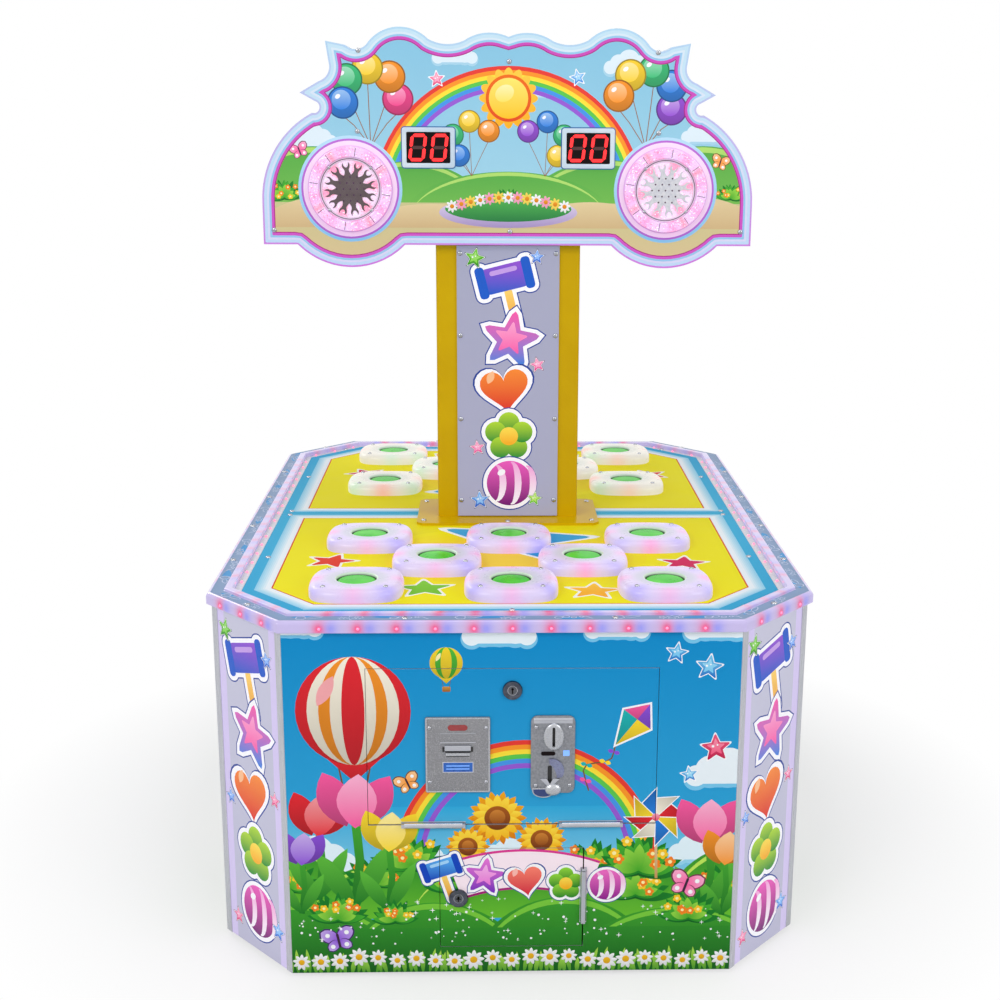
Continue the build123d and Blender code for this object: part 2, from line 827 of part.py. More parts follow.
def make_driver():
    y0 = -marquee_half_depth + marquee_face_thickness
    y1 = y0 + driver_flange
    y2 = y1 + basket_depth
    frame = block(-driver_half, driver_half, y0, y1, -driver_half, driver_half)
    slope = degrees(atan2(basket_front_half - basket_back_half, basket_depth))
    front = Plane.XZ.offset(-y1) * Rectangle(2 * basket_front_half, 2 * basket_front_half)
    basket = extrude(front, basket_depth, dir=(0, 1, 0), taper=slope)
    magnet = block(-magnet_half, magnet_half, y2, y2 + magnet_depth, -magnet_half, magnet_half)
    return frame + basket + magnet


def at_speakers(piece):
    return both_ends([Pos(side * speaker_x, 0, speaker_z) * piece for side in (-1, 1)])


def display_window(gap):
    return Rectangle(2 * (display_half_x - display_frame - gap), 2 * (display_half_z - display_frame - gap))


def make_bezel():
    frame = cut_corners(display_half_x, display_half_z, display_corner) - display_window(0)
    return slab(frame, -marquee_half_depth - display_proud, -marquee_half_depth)


def make_display_module():
    y0, y1 = -marquee_half_depth, -marquee_half_depth + marquee_face_thickness
    half_x, half_z = display_half_x - display_module_inset, display_half_z - display_module_inset
    return slab(display_window(seat_gap), y0, y1) + block(-half_x, half_x, y1, y1 + display_module_depth,
                                                          -half_z, half_z)


def at_displays(piece):
    return both_ends([Pos(side * display_x, 0, display_z) * piece for side in (-1, 1)])


def make_coin_door():
    y0, y1 = front_face, front_face + panel_thickness
    door = block(-coin_door_half, coin_door_half, y0, y1, coin_door_bottom + hinge_seat, coin_door_top)
    door -= lock_hole(0, coin_door_top - coin_lock_drop, front_face, 1)
    x, gap = acceptor_x, body_gap
    door -= block(x - acceptor_body_half - gap, x + acceptor_body_half + gap, y0 - overrun, y1 + overrun,
                  coin_parts_z - acceptor_body_bottom - gap, coin_parts_z + acceptor_body_top + gap)
    door -= block(ticket_x - ticket_body_half_x - gap, ticket_x + ticket_body_half_x + gap, y0 - overrun,
                  y1 + overrun, coin_parts_z - ticket_body_half_z - gap,
                  coin_parts_z + ticket_body_half_z + gap)
    return cut(door, coin_hinges[2])


def make_cash_door():
    door = block(-cash_door_half, cash_hinge_x - hinge_seat, front_face, front_face + panel_thickness,
                 cash_door_bottom, cash_door_top)
    door -= lock_hole(cash_lock_x, cash_door_middle, front_face, 1)
    return cut(door, cash_hinges[2])


def make_rear_door():
    door = block(-rear_door_half, rear_hinge_x - hinge_seat, cabinet_half_y - panel_thickness, cabinet_half_y,
                 rear_door_bottom, rear_door_top)
    door -= lock_hole(rear_lock_x, rear_door_middle, cabinet_half_y, -1)
    return cut(door, rear_hinges[2])


def make_coin_lock():
    place = Pos(0, front_face, coin_door_top - coin_lock_drop)
    return place * lock_body(), place * lock_plug()


# At rest the cash door's cam points down, out of the way of the panel.
def make_cash_lock():
    place = Pos(cash_lock_x, front_face, cash_door_middle)
    return place * lock_body(), place * Rot(0, -90, 0) * lock_plug()


def make_rear_lock():
    place = Pos(rear_lock_x, cabinet_half_y, rear_door_middle)
    turn = Rot(0, 0, 180)
    return place * turn * lock_body(), place * turn * Rot(0, -90, 0) * lock_plug()


def lever_pivot():
    return acceptor_x + lever_pivot_x, coin_parts_z + lever_pivot_z


# The acceptor: a cast plate with an oval boss round the coin slot, a body behind it,
# and below them the slot where a refused coin falls, its pointed guard, and the cup.
def make_coin_acceptor():
    face = front_face - acceptor_thickness
    plate = slab(cut_corners(acceptor_half_x, acceptor_half_z, acceptor_corner), face, front_face)
    plate = chamfer(plate.faces().sort_by(Axis.Y)[0].edges(), acceptor_bevel)
    body = block(-acceptor_body_half, acceptor_body_half, front_face, front_face + acceptor_body_depth,
                 -acceptor_body_bottom, acceptor_body_top)
    boss = slab(Pos(0, boss_rise) * Ellipse(boss_half_x, boss_half_z), face - boss_thickness, face)
    guard = Polyline((return_slot_x - vee_half, vee_top), (return_slot_x + vee_half, vee_top),
                     (return_slot_x, vee_top - vee_height), close=True)
    unit = plate + body + boss + slab(make_face(guard), face - vee_thickness, face)
    cup_face = front_face - cup_proud
    unit += block(cup_x - cup_half, cup_x + cup_half, cup_face, front_face, cup_bottom, cup_top)
    unit -= block(cup_x - cup_half + cup_wall, cup_x + cup_half - cup_wall, cup_face - overrun,
                  cup_face + cup_depth, cup_bottom + cup_wall, cup_top - cup_wall)
    unit -= block(-coin_slot_width / 2, coin_slot_width / 2, face - boss_thickness - overrun,
                  front_face + coin_slot_depth, boss_rise - coin_slot_height / 2,
                  boss_rise + coin_slot_height / 2)
    unit -= block(return_slot_x - return_slot_width / 2, return_slot_x + return_slot_width / 2,
                  face - vee_thickness - overrun, face + return_slot_depth,
                  return_slot_z - return_slot_height / 2, return_slot_z + return_slot_height / 2)
    window = Pos(-window_shift, 0) * Rectangle(window_length, window_height)
    unit -= slab(window, face - overrun, face + window_depth)
    unit -= bar_y(lever_pivot_x, lever_pivot_z, face - overrun, face + lever_pin_length + overrun,
                  lever_pin_radius + turn_gap)
    return Pos(acceptor_x, 0, coin_parts_z) * unit


# The lever's blade as shares of its length, from the pivot: out and down to the right.
lever_outer_shares = [(-0.19, 0.1), (0.45, -0.12), (0.52, -0.94)]
lever_inner_shares = [(0.23, -1), (0.1, -0.52), (-0.19, -0.16)]


def make_lever():
    outer = [(lever_length * x, lever_length * z) for x, z in lever_outer_shares]
    inner = [(lever_length * x, lever_length * z) for x, z in lever_inner_shares]
    edges = [ThreePointArc(*outer), Line(outer[-1], inner[0]), ThreePointArc(*inner),
             Line(inner[-1], outer[0])]
    back = front_face - acceptor_thickness - seat_gap
    blade = slab(make_face(Curve() + edges), back - lever_thickness, back)
    pin = bar_y(0, 0, back - overrun, back + seat_gap + lever_pin_length, lever_pin_radius)
    x, z = lever_pivot()
    return Pos(x, 0, z) * (blade + pin)


def make_ticket_dispenser():
    face = front_face - ticket_thickness
    plate = slab(Rectangle(2 * ticket_half_x, 2 * ticket_half_z), face, front_face)
    plate = chamfer(plate.faces().sort_by(Axis.Y)[0].edges(), ticket_bevel)
    lip_top = mouth_rise + mouth_height + mouth_lip_height
    plate += block(-mouth_half, mouth_half, face - mouth_lip_proud, face, mouth_rise + mouth_height, lip_top)
    window = Pos(0, ticket_window_rise) * Rectangle(ticket_window_length, ticket_window_height)
    plate -= slab(window, face - overrun, face + ticket_bevel)
    body = block(-ticket_body_half_x, ticket_body_half_x, front_face, front_face + ticket_body_depth,
                 -ticket_body_half_z, ticket_body_half_z)
    mouth = block(-mouth_half, mouth_half, face - overrun, face + mouth_depth, mouth_rise,
                  mouth_rise + mouth_height)
    place = Pos(ticket_x, 0, coin_parts_z)
    return [place * (plate - mouth), place * (body - mouth)]


def cash_box_front():
    return front_face + panel_thickness + cash_box_front_gap


def make_cash_box():
    y0, z0 = cash_box_front(), cash_door_bottom
    y1, z1 = y0 + cash_box_depth, cash_door_top - cash_box_drop
    t = cash_box_wall
    box = block(-cash_box_half, cash_box_half, y0, y1, z0, z1)
    box -= block(-cash_box_half + t, cash_box_half - t, y0 + t, y1 - t, z0 + t, z1 + overrun)
    grip = z1 - handle_drop
    box += block(-handle_half, handle_half, y0 - handle_reach, y0 - handle_reach + t, grip - handle_bar, grip)
    for side in (-1, 1):
        x0, x1 = sorted((side * handle_half, side * (handle_half - handle_bar)))
        box += block(x0, x1, y0 - handle_reach, y0, grip - handle_bar, grip)
    return box


# The funnel's front view and its side view, each drawn through, and what they share.
def funnel(grow, rise):
    z1 = coin_door_bottom - hinge_seat - chute_drop
    z0 = z1 - chute_height
    top, bottom = chute_top_half + grow, chute_bottom_half + grow
    front = Polyline((acceptor_x - top, z1 + rise), (chute_bottom_x - bottom, z0 - rise),
                     (chute_bottom_x + bottom, z0 - rise), (acceptor_x + top, z1 + rise), close=True)
    side = Polyline((-grow, z1 + rise), (-grow, z0 - rise), (chute_bottom_depth + grow, z0 - rise),
                    (chute_depth + grow, z1 + rise), close=True)
    through = slab(make_face(front), -grow, chute_depth + grow)
    return through & Rot(0, 0, 90) * slab(make_face(side), -acceptor_x - top, bottom - chute_bottom_x)


# The chute takes coins from under the acceptor to the cash box, behind the strip between the doors.
def make_chute():
    chute = funnel(0, 0) - funnel(-chute_wall, seat_gap)
    return Pos(0, front_face + panel_thickness, 0) * chute


def make_inlet():
    face = cabinet_half_y + inlet_flange_thickness
    inlet = slab(cut_corners(inlet_flange_half_x, inlet_flange_half_z, inlet_flange_corner),
                 cabinet_half_y, face)
    inlet += block(-inlet_body_half_x, inlet_body_half_x, cabinet_half_y - inlet_body_depth, cabinet_half_y,
                   -inlet_body_half_z, inlet_body_half_z)
    inlet -= block(-socket_half_x, socket_half_x, face - socket_depth, face + overrun, -socket_half_z,
                   socket_half_z)
    for x, z in ((-blade_x, -blade_z), (blade_x, -blade_z), (0, blade_z)):
        inlet += block(x - blade_width / 2, x + blade_width / 2, face - socket_depth,
                       face - socket_depth + blade_length, z - blade_height / 2, z + blade_height / 2)
    return Pos(inlet_x, 0, inlet_z) * inlet


def make_power_and_control():
    y0 = bulkhead_thickness / 2
    supply = block(supply_x - supply_width / 2, supply_x + supply_width / 2, y0, y0 + supply_depth,
                   supply_z, supply_z + supply_height)
    x0, x1 = board_x - board_width / 2, board_x + board_width / 2
    z1 = board_z + board_height
    face = y0 + standoff + board_thickness
    board = block(x0, x1, y0 + standoff, face, board_z, z1)
    for x in (x0, x1 - standoff_size):
        for z in (board_z, z1 - standoff_size):
            board += block(x, x + standoff_size, y0, y0 + standoff, z, z + standoff_size)
    for place in (-1, 0, 1):
        x = board_x + place * board_width / 4
        z = board_z + board_height / 2
        board += block(x - chip_size / 2, x + chip_size / 2, face, face + chip_height, z - chip_size / 2,
                       z + chip_size / 2)
    return [supply, board]


def as_list(shape):
    return shape if isinstance(shape, list) else [shape]


def save(name, shapes):
    solids = [solid for shape in as_list(shapes) for solid in shape.solids()]
    whole = solids[0] if len(solids) == 1 else Compound(children=solids)
    export_step(whole, f"parts/{name}.step")


os.makedirs("parts", exist_ok=True)

save("base_board", make_base_board())
save("floor_pads", make_feet())
save("front_panel", make_front_panel())
save("rear_panel", make_rear_panel())
save("side_panels", make_side_panels())
save("corner_panels", [make_corner_panel(side) for side in corner_sides])
save("corner_light_covers", [make_corner_cover(side) for side in corner_sides])
save("corner_strips", [strip for side in corner_sides for strip in make_corner_strips(side)])
save("centre_bulkhead", make_bulkhead())
save("panel_battens", make_battens())

deck = make_deck()
save("front_play_deck", deck)
save("rear_play_deck", Rot(0, 0, 180) * deck)
save("deck_rim", make_rim())
ring = make_ring()
save("hole_rings", both_ends([Pos(x, y, 0) * ring for x, y in hole_places]))
save("deck_light_boards", make_light_boards())
save("drive_trays", both_ends([make_tray()]))
drive, stop = make_drive()
save("mole_drives", both_ends([Pos(x, y, 0) * piece for x, y in hole_places for piece in (drive, stop)]))
head, rod = make_mole()
for end, turn in ends.items():
    for number, (x, y) in enumerate(hole_places, start=1):
        place = Pos(turn * x, turn * y, 0)
        save(f"mole_{end}_{number}", [place * head, place * rod])

save("column_shell", make_column())
save("column_light_panels", make_column_panels())
save("light_bars", make_light_bars())
save("marquee_housing", make_marquee_housing())
save("marquee_faces", both_ends([make_marquee_face()]))
save("speaker_grilles", at_speakers(make_grille()))
save("speaker_light_rings", at_speakers(make_light_ring()))
save("speaker_drivers", at_speakers(make_driver()))
save("display_bezels", at_displays(make_bezel()))
save("display_modules", at_displays(make_display_module()))

save("hinge_frame_leaves", coin_hinges[0] + cash_hinges[0] + rear_hinges[0])
coin_lock, coin_plug = make_coin_lock()
cash_lock, cash_plug = make_cash_lock()
rear_lock, rear_plug = make_rear_lock()
save("coin_door", make_coin_door())
save("coin_door_hardware", coin_hinges[1] + [coin_lock])
save("coin_lock_cam", coin_plug)
save("coin_acceptor", make_coin_acceptor())
save("coin_return_lever", make_lever())
save("ticket_dispenser", make_ticket_dispenser())
save("cash_door", make_cash_door())
save("cash_door_hardware", cash_hinges[1] + [cash_lock])
save("cash_lock_cam", cash_plug)
save("cash_box", make_cash_box())
save("coin_chute", make_chute())
save("rear_door", make_rear_door())
save("rear_door_hardware", rear_hinges[1] + [rear_lock])
save("rear_lock_cam", rear_plug)
save("mains_inlet", make_inlet())
save("power_and_control", make_power_and_control())
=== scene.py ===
import bpy
import json
import math
import random
import numpy as np
from mathutils import Matrix, Vector
from mathutils.geometry import delaunay_2d_cdt


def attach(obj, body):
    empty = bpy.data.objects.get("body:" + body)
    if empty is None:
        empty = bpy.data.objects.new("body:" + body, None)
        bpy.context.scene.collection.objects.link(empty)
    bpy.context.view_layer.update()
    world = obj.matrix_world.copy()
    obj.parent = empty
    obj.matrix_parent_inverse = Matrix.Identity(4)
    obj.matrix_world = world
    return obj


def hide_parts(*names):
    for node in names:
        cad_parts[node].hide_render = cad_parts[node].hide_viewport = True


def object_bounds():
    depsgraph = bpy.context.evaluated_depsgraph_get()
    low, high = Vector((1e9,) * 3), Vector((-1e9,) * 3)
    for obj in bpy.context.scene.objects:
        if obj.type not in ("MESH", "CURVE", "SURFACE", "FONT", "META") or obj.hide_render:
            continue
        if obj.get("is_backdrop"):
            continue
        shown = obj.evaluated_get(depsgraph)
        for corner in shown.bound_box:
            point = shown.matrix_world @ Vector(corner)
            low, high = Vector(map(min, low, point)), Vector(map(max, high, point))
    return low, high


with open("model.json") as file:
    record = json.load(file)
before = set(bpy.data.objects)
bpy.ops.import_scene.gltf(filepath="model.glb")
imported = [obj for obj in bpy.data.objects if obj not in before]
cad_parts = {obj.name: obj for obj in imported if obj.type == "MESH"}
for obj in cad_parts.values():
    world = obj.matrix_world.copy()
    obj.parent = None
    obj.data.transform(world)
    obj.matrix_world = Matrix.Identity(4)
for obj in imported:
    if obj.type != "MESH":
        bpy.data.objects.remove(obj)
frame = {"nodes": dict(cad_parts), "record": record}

# A mole pounding machine for two players. Sizes are written in millimetres and made metres in addMesh.
cadBox = [list(corner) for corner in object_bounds()]
print("frame loaded:", len(frame["nodes"]), "nodes")

machine = {"faceHalf": 333, "cornerX": 120, "cornerY": 138, "sideHalf": 507, "foot": 8, "panelTop": 554,
    "deckTop": 568, "rimTop": 572, "ringTop": 588, "filmLift": 0.2}
halfX = machine["faceHalf"] + machine["cornerX"]
halfY = machine["sideHalf"] + machine["cornerY"]
rowPlaces = [(-236, -486), (0, -486), (236, -486), (-118, -347), (118, -347), (-236, -208), (0, -208),
    (236, -208)]
upward = (0, 0, 1)


def ink(colour):      # a screen colour, 0 to 255, on the shader's scale
    return [((c / 255 + 0.055) / 1.055) ** 2.4 if c > 10 else c / 3294.6 for c in colour]


def inkRows(*colours):
    return [np.array(ink(colour)) for colour in colours]


def darker(colour, share):
    return [c * share for c in colour]


def paler(colour, share):
    return [c + (255 - c) * share for c in colour]


def corners(inset):      # the cabinet's outline, anticlockwise from the front left
    turn = math.atan2(machine["cornerY"], machine["cornerX"])
    x1 = machine["faceHalf"] - inset * (1 - math.cos(turn)) / math.sin(turn)
    y2 = machine["sideHalf"] - inset * (1 - math.sin(turn)) / math.cos(turn)
    x2, y1 = halfX - inset, halfY - inset
    return [(-x1, -y1), (x1, -y1), (x2, -y2), (x2, y2), (x1, y1), (-x1, y1), (-x2, y2), (-x2, -y2)]


def sidesOf(outline):      # the ends, direction and length of each side
    ends = [Vector(p) for p in outline]
    return [(a, b, (b - a).normalized(), (b - a).length) for a, b in zip(ends, ends[1:] + ends[:1])]


def linked(name, data):
    thing = bpy.data.objects.new(name, data)
    bpy.context.scene.collection.objects.link(thing)
    return thing


def addMesh(name, points, faces, materials, scale=0.001):
    mesh = bpy.data.meshes.new(name)
    mesh.from_pydata([Vector(p) * scale for p in points], [], faces)
    for material in materials if isinstance(materials, list) else [materials]:
        mesh.materials.append(material)
    return linked(name, mesh)


def smooth(piece, angle):
    piece.data.shade_smooth()
    piece.data.set_sharp_from_angle(angle=math.radians(angle))
    return piece


def paintMesh(piece, name, tones, domain="POINT"):
    layer = piece.data.color_attributes.new(name, "FLOAT_COLOR", domain)
    layer.data.foreach_set("color", np.hstack([np.array(tones), np.ones((len(tones), 1))]).ravel())
    return piece


def settle(piece, body, replaced=()):      # says what a finished piece rides on and stands for
    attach(piece, body)
    if replaced:
        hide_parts(*replaced)
    return piece


def plainMesh(thing, name):      # what an object's modifiers make of it
    bpy.context.view_layer.update()
    mesh = bpy.data.meshes.new_from_object(thing.evaluated_get(bpy.context.evaluated_depsgraph_get()))
    mesh.name = name
    return mesh


def bevelled(piece, width, segments):      # rounds a piece's edges and keeps the result as its mesh
    edge = piece.modifiers.new("edge", "BEVEL")
    edge.width = width * 0.001
    edge.segments = segments
    edge.limit_method = "ANGLE"
    edge.angle_limit = math.radians(50)
    mesh = plainMesh(piece, piece.name)
    piece.modifiers.remove(edge)
    old = piece.data
    piece.data = mesh
    bpy.data.meshes.remove(old)
    mesh.name = piece.name


def addPiece(name, part, finish, body="cabinet", angle=None, edge=None, replaced=()):
    # angle is where smooth shading stops, and edge a bevel's width and segments
    piece = addMesh(name, *part, finishes[finish])
    if edge:
        bevelled(piece, *edge)
    if angle:
        smooth(piece, angle)
    return settle(piece, body, replaced)


class Wire:      # a shader socket that takes part in sums
    def __init__(self, finish, socket):
        self.finish = finish
        self.socket = socket

    def sum(self, operation, first, second):
        return self.finish.add("Math", {0: first, 1: second}, operation=operation)

    def __add__(self, other):
        return self.sum("ADD", self, other)

    def __sub__(self, other):
        return self.sum("SUBTRACT", self, other)

    def __rsub__(self, other):
        return self.sum("SUBTRACT", other, self)

    def __mul__(self, other):
        return self.sum("MULTIPLY", self, other)

    __radd__ = __add__
    __rmul__ = __mul__


class Finish:      # a material built from its Principled shader outwards
    def __init__(self, name, **values):
        self.material = bpy.data.materials.new(name)
        self.material.use_nodes = True
        self.tree = self.material.node_tree
        self.shader = self.tree.nodes["Principled BSDF"]
        self.set(**values)

    def plug(self, socket, value):
        if isinstance(value, Wire):
            self.tree.links.new(value.socket, socket)
        elif socket.type == "RGBA":
            socket.default_value = (*value[:3], 1)
        else:
            socket.default_value = value

    def set(self, coat=None, **values):      # baseColor becomes Base Color, and so on
        if coat:
            values.update(coatWeight=coat[0], coatRoughness=coat[1])
        for key, value in values.items():
            words = "".join(" " + c if c.isupper() else c for c in key).title().replace("Ior", "IOR")
            self.plug(self.shader.inputs[words], value)

    def add(self, kind, inputs=None, output=0, **settings):
        node = self.tree.nodes.new("ShaderNode" + kind)
        for key, value in settings.items():
            if key == "stops":
                ramp = node.color_ramp
                while len(ramp.elements) < len(value):
                    ramp.elements.new(0.5)
                for element, (place, colour) in zip(ramp.elements, value):
                    element.position = place
                    element.color = (*ink(colour), 1)
            else:
                setattr(node, key, value)
        for key, value in (inputs or {}).items():
            self.plug(node.inputs[key], value)
        return Wire(self, node.outputs[output])

    def spot(self, stretch=(1, 1, 1)):      # object coordinates, in metres, stretched
        return self.add("Mapping", {"Vector": self.add("TexCoord", output="Object"), "Scale": stretch})

    def noise(self, scale, detail=2.0, roughness=0.5, stretch=(1, 1, 1)):
        return self.add("TexNoise", {"Vector": self.spot(stretch), "Scale": scale, "Detail": detail,
            "Roughness": roughness})

    def between(self, value, low, high):      # 0 below low and 1 above high
        return self.add("MapRange", {"Value": value, "From Min": low, "From Max": high})

    def mix(self, share, first, second, way="MIX"):
        return self.add("Mix", {0: share, 6: first, 7: second}, 2, data_type="RGBA", blend_type=way)

    def paint(self, name="paint"):
        return self.add("Attribute", output="Color", attribute_name=name)

    def bump(self, height, strength, distance=0.001):
        self.set(normal=self.add("Bump", {"Height": height, "Strength": strength, "Distance": distance}))

    def shades(self, share, first, second, rough):
        # two shades and a roughness, which follows the same pattern or else has a noise of its own
        low, high, *noise = rough
        worn = self.noise(*noise) if noise else share
        self.set(baseColor=self.mix(share, ink(first), ink(second)), roughness=worn * (high - low) + low)

    def ramp(self, share, stops, rough):      # shades along a ramp's stops
        self.set(baseColor=self.add("ValToRGB", {"Fac": share}, stops=stops),
            roughness=share * (rough[1] - rough[0]) + rough[0])


plainShades = {      # slot: name, two shades, noise, roughness, bump, shader values
    "printed_board": ("paintedBoard", (222, 222, 228), (205, 205, 214), (30, 4), (0.4, 0.55), 0.08, {}),
    "trim": ("satinAluminium", (214, 216, 222), (192, 194, 202), (900, 4, 0.5, (1, 1, 0.02)), (0.26, 0.4),
        0.12, {"metallic": 0.5}),
    "marquee_shell": ("paleBluePaint", (172, 208, 236), (150, 192, 228), (8, 4), (0.22, 0.34), 0.05,
        {"coat": (0.4, 0.15)}),
    "lever_metal": ("blueGreyDieCast", (122, 126, 158), (142, 148, 180), (90, 4), (0.2, 0.34), 0.05,
        {"metallic": 0.75, "coat": (0.5, 0.1)}),
    "dieGrey": ("satinDieCast", (132, 134, 140), (152, 154, 160), (320, 4), (0.28, 0.42), 0.08,
        {"metallic": 0.6, "coat": (0.25, 0.2)}),
    "silver": ("turnedSilver", (182, 184, 190), (200, 202, 206), (1600, 4, 0.5, (1, 1, 0.3)), (0.22, 0.34),
        0.05, {"metallic": 0.9}),
    "black_plastic": ("blackPlastic", (14, 14, 16), (26, 26, 29), (300, 4), (0.3, 0.5), 0.15,
        {"coatWeight": 0.2}),
    "rubber_foot": ("blackRubber", (20, 20, 20), (36, 35, 34), (180, 4), (0.7, 0.9), 0.4, {}),
    "light_board": ("whiteCircuitBoard", (226, 226, 232), (206, 208, 218), (220, 4), (0.35, 0.5), 0.08,
        {"coatWeight": 0.2}),
    "bezel": ("paleBezel", (220, 234, 246), (200, 220, 238), (14, 4), (0.16, 0.28), 0.04,
        {"coat": (0.3, 0.08)}),
    "divider": ("darkMauve", (52, 26, 54), (84, 48, 86), (200, 4), (0.4, 0.6), 0.05, {}),
    "deepBlueLabel": ("deepBlueLabel", (14, 84, 176), (24, 100, 196), (120, 4), (0.25, 0.4), 0.03,
        {"coatWeight": 0.3}),
    "bright_metal": ("brightPlate", (206, 208, 214), (176, 178, 188), (45, 5, 0.65), (0.06, 0.22), 0,
        {"metallic": 1}),
    # the lock rims' chrome is made dark: painted dark reflections on bright metal
    "lockRim": ("smokedChrome", (44, 48, 58), (112, 116, 128), (120, 3), (0.06, 0.2), 0, {"metallic": 1}),
    # the grille plate is shown darker than its metal: painted shade and painted dark reflections
    "grille": ("warmPlate", (92, 80, 82), (122, 110, 114), (60, 4, 0.6), (0.14, 0.34), 0, {"metallic": 1}),
    "screw": ("darkChrome", (150, 152, 158), (206, 208, 214), (300, 3), (0.1, 0.24), 0, {"metallic": 1}),
    "lock_metal": ("satinPlate", (78, 80, 86), (118, 120, 126), (500, 2, 0.5, (1, 0.05, 1)), (0.22, 0.42), 0,
        {"metallic": 1}),
    "paleRing": ("paleLilacRing", (206, 190, 216), (226, 206, 226), (40,), (0.16, 0.32), 0,
        {"coat": (0.5, 0.08), "emissionStrength": 0.12, "emissionColor": ink((255, 210, 235))}),
    "dimDigit": ("darkRedDigit", (52, 6, 8), (72, 12, 12), (90,), (0.2, 0.4, 60), 0, {"coatWeight": 0.4}),
    # dark blue painted shade for the inside of the coin return cup
    "cupBlue": ("darkBlueLining", (22, 40, 96), (34, 62, 128), (80,), (0.3, 0.5, 60), 0,
        {"coatWeight": 0.3}),
    "window": ("darkWindow", (10, 4, 6), (22, 6, 8), (12,), (0.08, 0.18, 30), 0,
        {"coat": (0.05, 0.1), "specularIorLevel": 0.1})}
bulbs = {"pinkLamp": ((255, 104, 140), 1.5), "redDigit": ((255, 26, 30), 1.1),
    "paleBlueMark": ((120, 170, 250), 0.4)}


def plainFinishes(made):
    for slot, (name, first, second, noise, rough, lift, values) in plainShades.items():
        finish = Finish(name, **values)
        pattern = finish.noise(*noise)
        finish.shades(finish.between(pattern, 0.35, 0.65) if lift else pattern, first, second, rough)
        if lift:
            finish.bump(pattern, lift)
        made[slot] = finish.material
    made["corner_board"] = made["deck_board"] = made["printed_board"]
    made["marquee_print"] = made["marquee_shell"]
    for name, (colour, strength) in bulbs.items():
        bulb = Finish(name, baseColor=ink(colour), emissionStrength=strength, roughness=0.3)
        light = ink([min(255, c + 60) for c in colour])
        bulb.set(emissionColor=bulb.mix(bulb.noise(500, 1) * 0.4, ink(colour), light))
        made[name] = bulb.material


def printFinishes(made):      # films that show their own colours
    film = Finish("printedFilm", coat=(0.02, 0.12), specularIorLevel=0.08)
    dust = film.noise(9, 5, 0.6)
    film.set(baseColor=film.mix(dust * 0.006, film.paint(), ink((225, 228, 230))),
        roughness=dust * 0.18 + 0.22)
    film.bump(film.noise(260), 0.05)
    made["film"] = film.material

    matte = Finish("deckFilm", specularIorLevel=0.03)
    scuff = matte.noise(14, 6, 0.65)
    matte.set(baseColor=matte.mix(scuff * 0.03, matte.paint(), ink((244, 238, 190))),
        roughness=scuff * 0.25 + 0.35)
    matte.bump(matte.noise(180), 0.04)
    made["deckFilm"] = matte.material

    lit = Finish("backlitPrint", coat=(0.12, 0.1), specularIorLevel=0.25, emissionStrength=0.34)
    cloudy = lit.noise(7)
    lit.set(baseColor=lit.mix(0.22, lit.paint(), (0, 0, 0)), roughness=cloudy * 0.12 + 0.16,
        emissionColor=lit.mix(cloudy * 0.5, lit.paint(), ink((215, 205, 240)), "MULTIPLY"))
    made["litPrint"] = lit.material


def glowFinishes(made):      # clear and milky plastics, lit by the lamps under them
    milky = Finish("milkyRing", coat=(0.12, 0.2), specularIorLevel=0.3, emissionStrength=0.44)
    haze = milky.noise(60)
    glow = milky.paint("glow")
    milky.set(baseColor=milky.mix(0.38, glow, (0, 0, 0)),
        emissionColor=milky.mix(haze * 0.12, glow, (1, 1, 1)), roughness=haze * 0.14 + 0.22)
    made["hole_ring"] = milky.material

    rail = Finish("lavenderRail", coat=(0.6, 0.06), emissionStrength=0.45)
    glow = rail.paint("glow")
    rail.set(baseColor=rail.mix(0.4, glow, (0, 0, 0)), emissionColor=glow,
        roughness=rail.noise(40) * 0.12 + 0.14)
    made["rail"] = rail.material

    clear = Finish("clearRing", coat=(0.8, 0.05), emissionStrength=0.45)
    # red sparks and white glints mixed into the ring's colour and glow are painted highlights, light caught
    # in the plastic
    paintedSparks = clear.between(clear.noise(420, 1), 0.6, 0.7)
    paintedGlints = clear.between(clear.noise(300, 1, stretch=(1, 1, 1.4)), 0.62, 0.7)
    glowWithPaintedGlints = clear.mix(paintedSparks * 0.6, clear.paint("glow"), ink((226, 40, 90)))
    glowWithPaintedGlints = clear.mix(paintedGlints * 0.8, glowWithPaintedGlints, ink((255, 250, 255)))
    clear.set(baseColor=clear.mix(0.25, glowWithPaintedGlints, ink((245, 225, 240))), emissionColor=glowWithPaintedGlints,
        roughness=clear.noise(90) * 0.2 + 0.12)
    made["clear_ring"] = clear.material

    red = Finish("redPillWindow", coat=(0.9, 0.05), emissionStrength=0.1)
    ember = red.noise(120)
    red.shades(ember, (104, 10, 16), (150, 24, 30), (0.12, 0.27))
    red.set(emissionColor=red.mix(ember, ink((190, 10, 16)), ink((255, 60, 50))))
    made["redWindow"] = red.material


